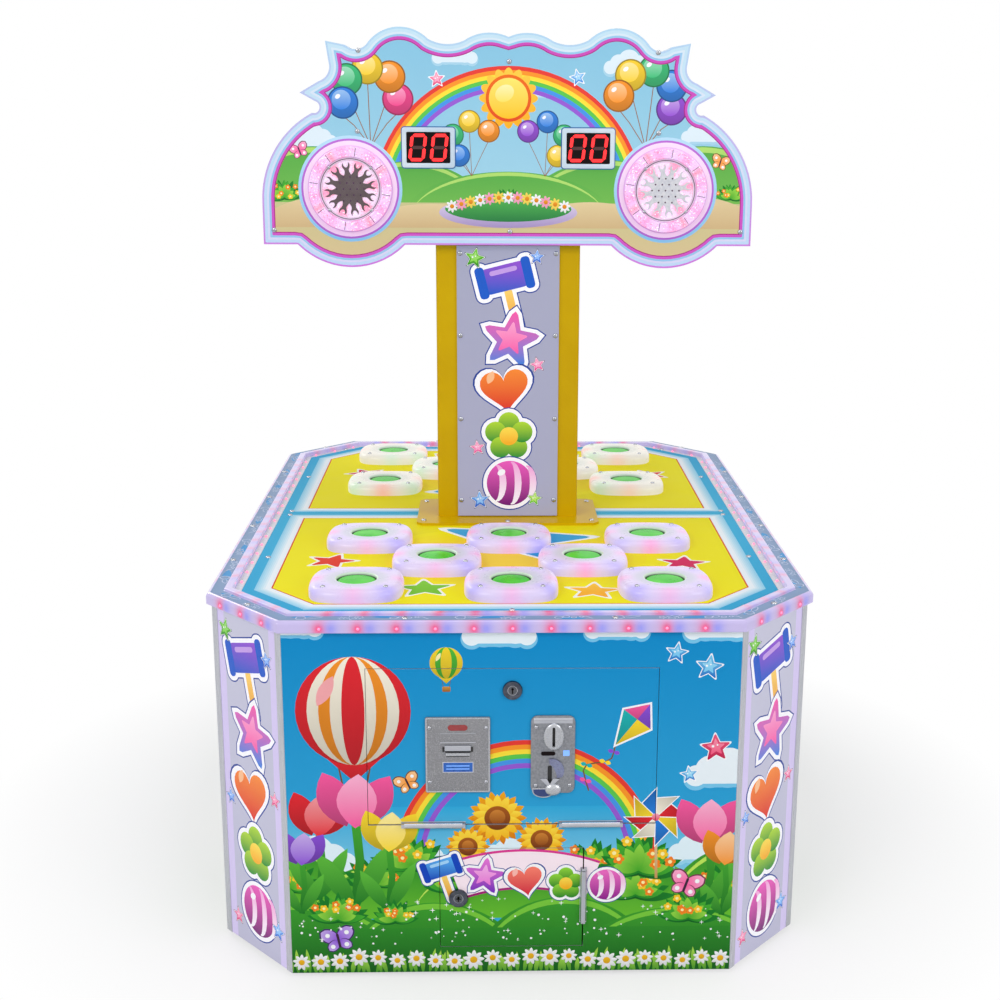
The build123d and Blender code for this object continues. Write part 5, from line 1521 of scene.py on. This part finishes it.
def makeRing(name, tones):
    # the outer zone follows the pillow outline, and the flat collar is round
    outline, low, top, hole = ringOutline(), machine["deckTop"], machine["ringTop"], ringShape["hole"]
    profile = [("in", 0, low), ("in", 0, top - 11), ("in", 0.7, top - 7.5), ("in", 2.4, top - 4.4),
        ("in", 5, top - 2.2), ("in", 9, top - 0.8), ("in", 14, top - 0.2)]
    profile += [("at", r, top) for r in (54, 48, 43, 38, 34)]
    profile += [("at", hole + 1.6, top - 0.3), ("at", hole + 0.4, top - 1.1), ("at", hole, top - 2.4),
        ("at", hole, top - 5), ("at", hole, low)]
    base, middle, edge, paintedBoreShade = [np.array(ink(c)) for c in (tones["base"], tones["middle"], (204, 222, 206),
        (14, 44, 14))]
    points, glow = [], []
    for kind, amount, z in profile:
        for x, y in outline:
            a = math.degrees(math.atan2(y, x))
            r = math.hypot(x, y) - amount if kind == "in" else amount
            points.append((*polar(r, a), z))
            tone = base
            for angle, width, colour, share in tones["spots"]:
                near = share * bell(a, angle, width) * min(1, max(0, (r - 46) / 16))
                tone = tone * (1 - near) + np.array(ink(colour)) * near
            plain = min(1, max(0, (54 - r) / 14))
            tone = tone * (1 - plain) + middle * plain
            # a painted pale highlight round the hole's lip, and painted dark green shade down its bore
            if r < hole + 2:
                tone = edge if z > top - 4 else paintedBoreShade
            glow.append(tone)
    faces = [face[::-1] for face in ringed(len(outline), len(profile))]
    return smooth(paintMesh(addMesh(name, points, faces, finishes["hole_ring"], 1), "glow", glow), 30)


moleShape = {"radius": 29.6, "top": 585.2, "dome": 5, "bottom": 493, "rodHalf": 6, "rodLength": 145}


def makeMole(name, x, y):
    r, top, dome, bottom = [moleShape[key] for key in ("radius", "top", "dome", "bottom")]
    profile = [(0, bottom), (r - 2, bottom), (r, bottom + 2), (r, top - dome)]
    profile += [(r * share, top - dome * drop) for share, drop in ((0.995, 0.66), (0.975, 0.42),
        (0.94, 0.24), (0.88, 0.1), (0.8, 0.04), (0.6, -0.04), (0.4, -0.09), (0.2, -0.12), (0, -0.13))]
    head = moved(lathe(profile, 40), (x, y, 0))
    half = moleShape["rodHalf"]
    rod = block(x - half, x + half, y - half, y + half, bottom - moleShape["rodLength"], bottom + 0.5)
    piece = addMesh(name + "_head", *joined([head, rod]), [finishes["mole"], finishes["plain_steel"]])
    piece.data.polygons.foreach_set("material_index", [0] * len(head[1]) + [1] * len(rod[1]))
    settle(smooth(piece, 40), name, [name])


def ringsAndMoles():
    out = ringShape["screwAt"]
    for end, turn, replaced in (("front", 1, ["hole_rings"]), ("rear", -1, ())):
        pattern = makeRing(end + "RingPattern", ringTones[end])
        spots = [(turn * x, turn * y, 0, upward) for x, y in rowPlaces]
        ring = scatter(end + "HoleRings", pattern, spots, 1, "hole_ring", 4, 3)
        bpy.data.objects.remove(pattern)
        settle(smooth(ring, 30), "cabinet", replaced)
        screws = [(x + dx, y + dy, machine["ringTop"] - 0.2, upward) for x, y, _, _ in spots
            for dx, dy in ((-out, -out), (out, -out), (out, out), (-out, out))]
        setScrews(end + "RingScrews", screws, "ring")
        for number, (x, y, _, _) in enumerate(spots, start=1):
            makeMole(f"mole_{end}_{number}", x, y)


makeRim()
bandFilms()
rimLamps()
ringsAndMoles()
print("rim, rings and moles made")

speaker = {"ringOuter": 70, "ringInner": 53.4, "ringTop": 8, "plate": 2.2, "hub": 24, "arms": 12,
    "turn": 10, "bandInner": 47.2, "bandOuter": 53, "bandTop": 3.4, "dotPitch": 11.5}
display = {"outer": (89, 66, 4.5), "inner": (74, 51, 2), "proud": 5, "digit": (22.5, 40), "stroke": 5.4,
    "lean": 0.12}


def onMarquee(part, place, sides=(-1, 1)):      # sides as the player at each end sees them
    x, z = marquee[place]
    return joined([faceFront(part, -end * side * x, end * marquee["face"], z, end) for side in sides
        for end in (-1, 1)])


def speakerRings():
    # the clear ring with its fine grooves, and the lamps that shine through it
    top, outer, inner = speaker["ringTop"], speaker["ringOuter"], speaker["ringInner"]
    profile = [(outer, 0), (outer, top - 1.6), (outer - 0.7, top - 0.4), (outer - 2, top)]
    for r in (66, 62, 58):
        profile += [(r + 0.7, top), (r, top - 0.7), (r - 0.7, top)]
    profile += [(inner + 1.6, top), (inner + 0.4, top - 0.5), (inner, top - 1.6), (inner, 0)]
    part = lathe(profile[::-1], 96, closed=True)
    tones = []
    base, warm, hot = inkRows((214, 178, 226), (255, 120, 190), (255, 60, 90))
    for x, y, _ in part[0]:
        a = math.degrees(math.atan2(y, x))
        near = 0.75 * max(bell(a, 12 + 45 * k, 9) for k in range(8))
        hotter = 0.6 * max(bell(a, 30 + 90 * k, 5) for k in range(4))
        tones.append((base * (1 - near) + warm * near) * (1 - hotter) + hot * hotter)
    ring = addPiece("speakerRings", onMarquee(part, "speakerAt"), "clear_ring", angle=40,
        replaced=["speaker_light_rings"])
    paintMesh(ring, "glow", tones * 4)
    bar = block(54.6, 68.6, -0.45, 0.45, top - 1.4, top + 0.15)
    bars = [moved(bar, turn=Matrix.Rotation(math.radians(45 * k + 36), 3, "Z")) for k in range(8)]
    addPiece("ringDividers", onMarquee(joined(bars), "speakerAt"), "divider")


def grilleArms():
    # one arm with its forked end is a sector, set round the hub twelve times
    half = [(15, speaker["hub"]), (12.5, 25.2), (9, 27.5), (6.6, 31), (7.4, 34), (9.4, 37), (9.6, 40),
        (8.2, 42.6), (5.8, 44.8), (6.2, 41.6), (5.2, 38.8), (2.8, 36.8), (0, 36)]
    line = [(-a, r) for a, r in half] + [(a, r) for a, r in half[-2::-1]]
    points, faces = plate([(0, 0)] + [polar(r, a) for a, r in line], 0.8, speaker["plate"])
    seam = {i for i, (x, y, _) in enumerate(points) if abs(y) > abs(x) * math.tan(math.radians(14.9))
        or x < 0.01}
    kept = [face for face in faces if len(face) == 3 or not seam.issuperset(face)]
    sector = addMesh("sector", points, kept, finishes["bright_metal"], 1)
    whole = aroundAxis.grow(sector, "starPlate", Count=speaker["arms"], Join=0.01,
        Finish=finishes["bright_metal"])
    part = [tuple(v.co) for v in whole.data.vertices], [tuple(f.vertices) for f in whole.data.polygons]
    bpy.data.objects.remove(whole)
    return moved(part, turn=Matrix.Rotation(math.radians(speaker["turn"]), 3, "Z"))


def speakerGrilles():
    arms = grilleArms()
    # the left pair wears a dark plate and the right pair a white one: painted shade and painted highlight on
    # plates of one metal
    for name, sides, finish in (("grillePlatesDark", (-1,), "grille"),
            ("grillePlatesLight", (1,), "light_board")):
        addPiece(name, onMarquee(arms, "speakerAt", sides), finish, angle=35,
            edge=(0.35, 1), replaced=["speaker_grilles"])
    r0, r1, top = speaker["bandInner"], speaker["bandOuter"], speaker["bandTop"]
    band = lathe([(r1, 0), (r1, top - 0.8), (r1 - 0.8, top), (r0 + 0.5, top), (r0, top - 0.6), (r0, 0)], 72,
        True)
    addPiece("grilleBands", onMarquee(band, "speakerAt"), "paleRing", angle=35)
    r = (r0 + r1) / 2
    line = lathe([(r + 0.6, top - 0.2), (r + 0.6, top + 0.12), (r - 0.6, top + 0.12), (r - 0.6, top - 0.2)],
        72, True)
    addPiece("grilleLines", onMarquee(line, "speakerAt"), "divider")


def speakerFields():
    # the lit disc behind the arms, pink behind every second one
    part = lathe([(r, 0.5) for r in (47.6, 45, 42, 38, 34, 28, 22, 12, 0)], 72)
    base, warm = np.array(ink((228, 206, 236))), np.array(ink((255, 92, 150)))
    tones = []
    for x, y, _ in part[0]:
        near = max(bell(math.degrees(math.atan2(y, x)), speaker["turn"] + 60 * k, 13) for k in range(6))
        near *= 0.85 * min(1, max(0, (math.hypot(x, y) - 20) / 12))
        tones.append(base * (1 - near) + warm * near)
    piece = addPiece("litFields", onMarquee(part, "speakerAt"), "clear_ring")
    paintMesh(piece, "glow", tones * 4)


def speakerSmallParts():
    pitch, hole = speaker["dotPitch"], lathe([(1.5, 0), (0, 0)], 10)
    places = [(pitch * (column + 0.5 * (row % 2)), pitch * 0.866 * row) for row in range(-2, 3)
        for column in range(-3, 4)]
    dots = [moved(hole, (x, y, speaker["plate"] + 0.03)) for x, y in places
        if math.hypot(x, y) < speaker["hub"] + 1]
    addPiece("grilleDots", onMarquee(joined(dots), "speakerAt"), "divider")
    (sx, sz), proud = marquee["speakerAt"], marquee["face"] + 3.2
    spots = [(x, end * proud, z, (0, end, 0)) for side in (-1, 1) for end in (-1, 1)
        for x, z in placed([polar(50, 45 + 90 * k) for k in range(4)], side * sx, sz)]
    setScrews("grilleScrews", spots, "grille")


def displays():
    surround = plate(roundBox(0, 0, *display["outer"]), 0, display["proud"],
        [roundBox(0, 0, *display["inner"])])
    addPiece("displayFrames", onMarquee(surround, "displayAt"), "bezel", angle=40, edge=(1.1, 2),
        replaced=["display_bezels"])
    glass = plate(roundBox(0, 0, 74.6, 51.6, 2.4), 0.2, 2.2)
    addPiece("displayWindows", onMarquee(glass, "displayAt"), "window")
    (wide, high), half = display["digit"], display["stroke"] / 2
    strokes = []
    for place in (-0.68, 0.68):
        for x0, y0, x1, y1 in ((0, 1, 1, 1), (1, 1, 1, 0.5), (1, 0.5, 1, 0), (0, 0, 1, 0), (0, 0, 0, 0.5),
                (0, 0.5, 0, 1), (0, 0.5, 1, 0.5)):
            a, b = [Vector(((x - 0.5) * wide, (y - 0.5) * high)) for x, y in ((x0, y0), (x1, y1))]
            along = (b - a).normalized()
            across = Vector((-along.y, along.x)) * half
            a, b = a + along * 0.7, b - along * 0.7
            ends = [a, a + along * half + across, b - along * half + across, b, b - along * half - across,
                a + along * half - across]
            strokes.append(plate([(p.x + place * wide * 1.18 + display["lean"] * p.y, p.y) for p in ends],
                2.1, 2.5))
    dark = strokes[6::7]      # the middle stroke of a nought stays dark
    lit = [stroke for stroke in strokes if stroke not in dark]
    for name, parts, finish in (("litDigits", lit, "redDigit"), ("darkDigits", dark, "dimDigit")):
        addPiece(name, onMarquee(joined(parts), "displayAt"), finish)


speakerRings()
speakerGrilles()
speakerFields()
speakerSmallParts()
displays()
print("speakers and displays made")


def coinPieces(place, replaced, *rows):      # rows are (name, part, how far out, finish, bevel)
    x, z = coinParts[place]
    for name, part, out, finish, edge in rows:
        addPiece(name, faceFront(part, x, -halfY - out, z), finish, "coin_door", 40,
            (edge, 2) if edge else None, replaced)
        replaced = ()      # the first stands for the CAD node


def ticketPlate():
    thick, (x0, x1, z0, z1), (wide, high, corner) = [coinParts[key] for key in ("thick", "mouth", "ticket")]
    face = plate(roundBox(0, 0, wide, high, corner), 0, thick, [box(*coinParts["mouth"])])
    # the silver frame round the plate's face is a painted highlight on the plate's bevelled edges
    edge = plate(roundBox(0, 0, wide - 1, high - 1, corner), 0, 0.7,
        [roundBox(0, 0, wide - 5.4, high - 5.4, 1)])
    lip = block(x0 - 0.5, x1 + 0.5, z1 - 1.4, z1 + 7.4, 0.2, 4.4)
    hooks = [block(x - 1.3, x + 1.3, z1 - 3, z1 + 3.4, 0.1, 2.2) for x in (x0 - 2, x1 + 2)]
    # the black strip under the sill is painted shadow
    shade = block(x0 + 2, x1 - 2, z0 - 6.4, z0 - 4.8, 0.1, 0.5)
    lines = joined([plate(box(-26, 26, z, z + wide), 0, 0.3) for z, wide in ((19, 1.7), (33.6, 0.7))])
    # the label's bars take the pale blue lamp finish, so they glow: a painted glow
    bars = joined([plate(box(-17, 17, z, z + 1.4), 0, 0.4) for z in (-17.6, -22.4)])
    coinPieces("ticketAt", ["ticket_dispenser"], ("ticketPlate", face, 0, "cast_grey", 0.9),
        ("ticketEdge", edge, thick - 0.1, "silver", 0.3), ("ticketBody", block(-40, 40, -50, 50, -80, -0.4),
        0, "black_plastic", 0), ("ticketLip", lip, thick - 0.2, "bright_metal", 1.4),
        ("ticketSill", block(x0 + 1, x1 - 1, z0 - 4.6, z0, 0.2, 2.6), thick - 0.2, "silver", 0.8),
        ("ticketMarks", joined([*hooks, shade]), thick, "black_plastic", 0),
        ("ticketWindow", plate(roundBox(0, 43, 29, 9, 4.4), 0, 0.6), thick, "redWindow", 0),
        ("ticketLines", lines, thick, "bright_metal", 0),
        ("ticketLabelEdge", plate(box(-22.4, 22.8, -27.4, -10.8), 0, 0.2), thick, "light_board", 0),
        ("ticketLabel", plate(box(-21.4, 21.8, -26.4, -11.8), 0, 0.3), thick, "deepBlueLabel", 0),
        ("ticketLabelBars", bars, thick, "paleBlueMark", 0))


def acceptor():
    thick, slot = coinParts["thick"], roundBox(1, 28.5, 4.2, 31, 2)
    face = plate(roundBox(0, 0, *coinParts["acceptor"]), 0, thick, [slot, roundBox(-4.3, -33, 6, 31, 2.4)])
    # the brow is the plate's own top bevel, in the bright plate finish as a painted highlight
    points = [(x, y, z) for x in (-28.6, 28.6) for y, z in ((49.4, -0.3), (49.4, 1.3), (57.6, 0.15),
        (57.6, -0.3))]
    brow = points, [(3, 2, 1, 0), (4, 5, 6, 7), (0, 1, 5, 4), (1, 2, 6, 5), (2, 3, 7, 6), (3, 0, 4, 7)]
    dome = stretched(lathe([(1, 0), (0.975, 2.2), (0.9, 3.5), (0.8, 4)], 48), 15.6, 21.6, 1)
    flat = plate(disc(1, 28.5, 12.6, 1.39, count=48), 3.2, 4, [slot])
    vee = [(10.7, -37), (0.2, -37), (-4.1, -45.4), (-8.6, -37), (-19.1, -37), (-4.1, -52.6)]
    cap = stretched(lathe([(1, 0), (0.97, 0.25), (0.86, 0.52), (0.66, 0.76), (0.36, 0.94), (0, 1)]), 13, 10,
        6.5)
    cup = arcPath(-13.5, -56.5, 16.5, 180, 360, 20, 0.66) + [(3, -52), (-30, -52)]
    # the dark blue sheet on the cup's face is painted shade inside the coin return cup
    cupShadeOutline = arcPath(-13.5, -56.5, 15, 180, 360, 20, 0.6) + [(1.5, -54), (-28.5, -54)]
    coinPieces("acceptorAt", ["coin_acceptor"], ("acceptorPlate", face, 0, "dieGrey", 1.3),
        ("acceptorBody", block(-27, 27, -70, 56, -60, -0.4), 0, "black_plastic", 0),
        ("acceptorBrow", brow, thick, "bright_metal", 0.3),
        ("slotBoss", joined([moved(dome, (1, 28.5, 0)), flat]), thick, "silver", 0),
        ("acceptorWindow", plate(roundBox(-7, 1.8, 21, 6.4, 3.1), 0, 0.4), thick, "window", 0),
        ("acceptorLabel", plate(roundBox(19.8, 2.4, 9.4, 8.8, 0.8), 0, 0.3), thick, "paleBlueMark", 0),
        ("returnGuard", plate(vee, 0, 3), thick, "bright_metal", 0.6),
        ("returnSpout", moved(cap, (0.5, -55, 0)), thick - 0.3, "silver", 0),
        ("returnCup", plate(cup, 0, 5), 0.3, "silver", 1),
        ("returnCupLining", plate(cupShadeOutline, 5, 5.6), 0.3, "cupBlue", 0))


def lockFaces():
    rim = lathe([(14.5, 0.1), (14.5, 2.4), (13.7, 3.8), (12.2, 4.3), (10.6, 3.8), (9.6, 3.2), (7.8, 3.4),
        (7.3, 3.1), (7.3, 0.1)], 48, True)
    # the keyway is a dark sheet on the plug's face: painted shade of the key slot
    keyway = joined([block(-0.8, 0.8, -4.4, 3.4, 0, 0.35),
        moved(lathe([(1.9, 0.35), (0, 0.35)], 16), (0, 2.6, 0))])
    for name, (x, z, end) in locks.items():
        addPiece(name + "LockRim", faceFront(rim, x, end * halfY, z, end), "lockRim",
            name + "_door", 40)
        plug = frame["nodes"][name + "_lock_cam"].data.vertices
        front = max(abs(v.co.y) * 1000 for v in plug)
        addPiece(name + "Keyway", faceFront(keyway, x, end * front, z, end), "window",
            name + "_lock")


ticketPlate()
acceptor()
lockFaces()
print("coin parts and locks made")


def screwRows():
    rim, low = machine["rimTop"] - 0.1, machine["deckTop"] - 0.1
    spots = []
    for turn in (1, -1):
        spots += [(turn * x, turn * -(halfY - 4.5), rim, upward) for x in (-155, 148)]
        spots += [(turn * (halfX - 4.5), y, rim, upward) for y in (-330, -110, 110, 330)]
    spots += [(*((a + b) / 2), rim, upward) for a, b, _, _ in sidesOf(corners(4.5))[1::2]]
    setScrews("rimScrews", spots, "rim")
    spots = []
    for turn in (1, -1):
        for x, y in ((0, -590), (-345, -575), (345, -575), (-395, -14), (395, -14), (-396, -300),
                (396, -300)):
            spots.append((turn * x, turn * y, low, upward))
        for x, y in ((-150, -71), (150, -71), (0, -80)):      # on the column's flange
            spots.append((turn * x, turn * y, 572.9, upward))
    setScrews("deckScrews", spots, "deck")
    spots = [(side * 83, end * 46.1, z, (0, end, 0)) for side in (-1, 1) for end in (-1, 1)
        for z in (604, 752, 900, 1042)]
    setScrews("columnScrews", spots, "panel")
    spots = [(x, end * 60.1, z, (0, end, 0)) for end in (-1, 1) for x, z in ((1, 1359), (3, 1080),
        (-399, 1081), (399, 1081), (-254, 1245), (254, 1245), (-250, 1375), (250, 1375))]
    setScrews("marqueeScrews", spots, "panel")
    spots, out = [], -halfY - coinParts["thick"]
    for place, dx, heights in (("ticketAt", 41.5, (-42.6, 42.6)), ("acceptorAt", 25, (-48.6, 43))):
        x, z = coinParts[place]
        spots += [(x + side * dx, out, z + dz, (0, -1, 0)) for side in (-1, 1) for dz in heights]
    setScrews("plateScrews", spots, "small", "coin_door")


screwRows()
print("screws set")


def dressNodes():      # the CAD nodes that stay get their own finishes
    slots = {row["node"]: row["material_slot"] for row in frame["record"]["subparts"]}
    for name, node in frame["nodes"].items():
        finish = finishes.get(slots[name], finishes["printed_board"])
        if node.data.materials:
            for row in node.material_slots:
                row.material = finish
        else:
            node.data.materials.append(finish)


for pattern in patterns.values():
    bpy.data.objects.remove(pattern)
dressNodes()
print("CAD nodes dressed")

studio = {"sky": 0.5, "floorHalf": 9000, "lamps": [("keyLamp", (-2.4, -3.4, 3.2), (0, 0, 0.6), 2.0, 56),
    ("fillLamp", (2.8, -2.8, 2.4), (0, 0, 0.6), 2.0, 34),
    ("topLamp", (0.3, -0.4, 4.4), (0, 0, 0.5), 2.4, 26),
    ("backLamp", (-2.6, 3.4, 2.8), (0, 0, 0.6), 2.0, 30)]}
camera = {"place": (-0.0350, -2.7824, 1.2618), "pitch": 14.889, "yaw": 1.736, "roll": 0.37, "lens": 56.26,
    "shift": (-0.034, 0.0375)}


def addFloor():
    # the floor fades to the white of the backdrop away from the machine, and keeps its shadow
    ground = Finish("paleFloor", roughness=0.6, baseColor=(0.86, 0.86, 0.87))
    away = ground.add("VectorMath", {0: ground.add("TexCoord", output="Object")}, "Value",
        operation="LENGTH")
    fade = 1 - 0.45 * ground.between(away, 1.0, 0.6)
    shown = ground.add("LightPath", output="Is Camera Ray")
    glow = ground.add("Emission", {"Color": (1, 1, 1), "Strength": 1.0})
    both = ground.add("MixShader", {0: fade * shown, 1: Wire(ground, ground.shader.outputs[0]), 2: glow})
    ground.plug(ground.tree.nodes["Material Output"].inputs["Surface"], both)
    half = studio["floorHalf"]
    floor = addMesh("floor", [(x, y, 0) for x, y in box(-half, half, -half, half)], [(0, 1, 2, 3)],
        ground.material)
    floor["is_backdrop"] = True


def addWorld():
    # the world is white to the eye, in metal and through glass, and half as strong as light
    world = bpy.data.worlds.new("studio")
    bpy.context.scene.world = world
    world.use_nodes = True
    tree = world.node_tree
    path = tree.nodes.new("ShaderNodeLightPath")
    seen = path.outputs["Is Camera Ray"]
    for kind in ("Is Glossy Ray", "Is Transmission Ray"):
        either = tree.nodes.new("ShaderNodeMath")
        either.operation = "MAXIMUM"
        tree.links.new(seen, either.inputs[0])
        tree.links.new(path.outputs[kind], either.inputs[1])
        seen = either.outputs[0]
    strength = tree.nodes.new("ShaderNodeMapRange")
    strength.inputs["To Min"].default_value = studio["sky"]
    tree.links.new(seen, strength.inputs["Value"])
    tree.links.new(strength.outputs["Result"], tree.nodes["Background"].inputs["Strength"])
    tree.nodes["Background"].inputs["Color"].default_value = (1, 1, 1, 1)


def addLamps():
    for name, place, target, size, power in studio["lamps"]:
        lamp = bpy.data.lights.new(name, "AREA")
        lamp.shape = "DISK"
        lamp.size = size
        lamp.energy = power
        holder = linked(name, lamp)
        holder.location = place
        holder.rotation_euler = (Vector(target) - Vector(place)).to_track_quat("-Z", "Y").to_euler()


def addCamera():
    pitch, yaw, roll = [math.radians(camera[key]) for key in ("pitch", "yaw", "roll")]
    ahead = Vector((math.sin(yaw) * math.cos(pitch), math.cos(yaw) * math.cos(pitch), -math.sin(pitch)))
    right = Vector((math.cos(yaw), -math.sin(yaw), 0))
    up = right.cross(ahead)
    turn = Matrix.Rotation(-roll, 3, ahead)
    axes = Matrix((turn @ right, turn @ up, -ahead)).transposed().to_4x4()
    lens = bpy.data.cameras.new("camera")
    lens.lens = camera["lens"]
    lens.sensor_width = 36
    lens.shift_x, lens.shift_y = camera["shift"]
    holder = linked("camera", lens)
    holder.matrix_world = Matrix.Translation(camera["place"]) @ axes
    bpy.context.scene.camera = holder


addFloor()
addWorld()
addLamps()
addCamera()
bpy.context.scene.view_settings.view_transform = "Standard"

({"cad": [list(corner) for corner in cadBox],
    "visual": [list(corner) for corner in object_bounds()]})
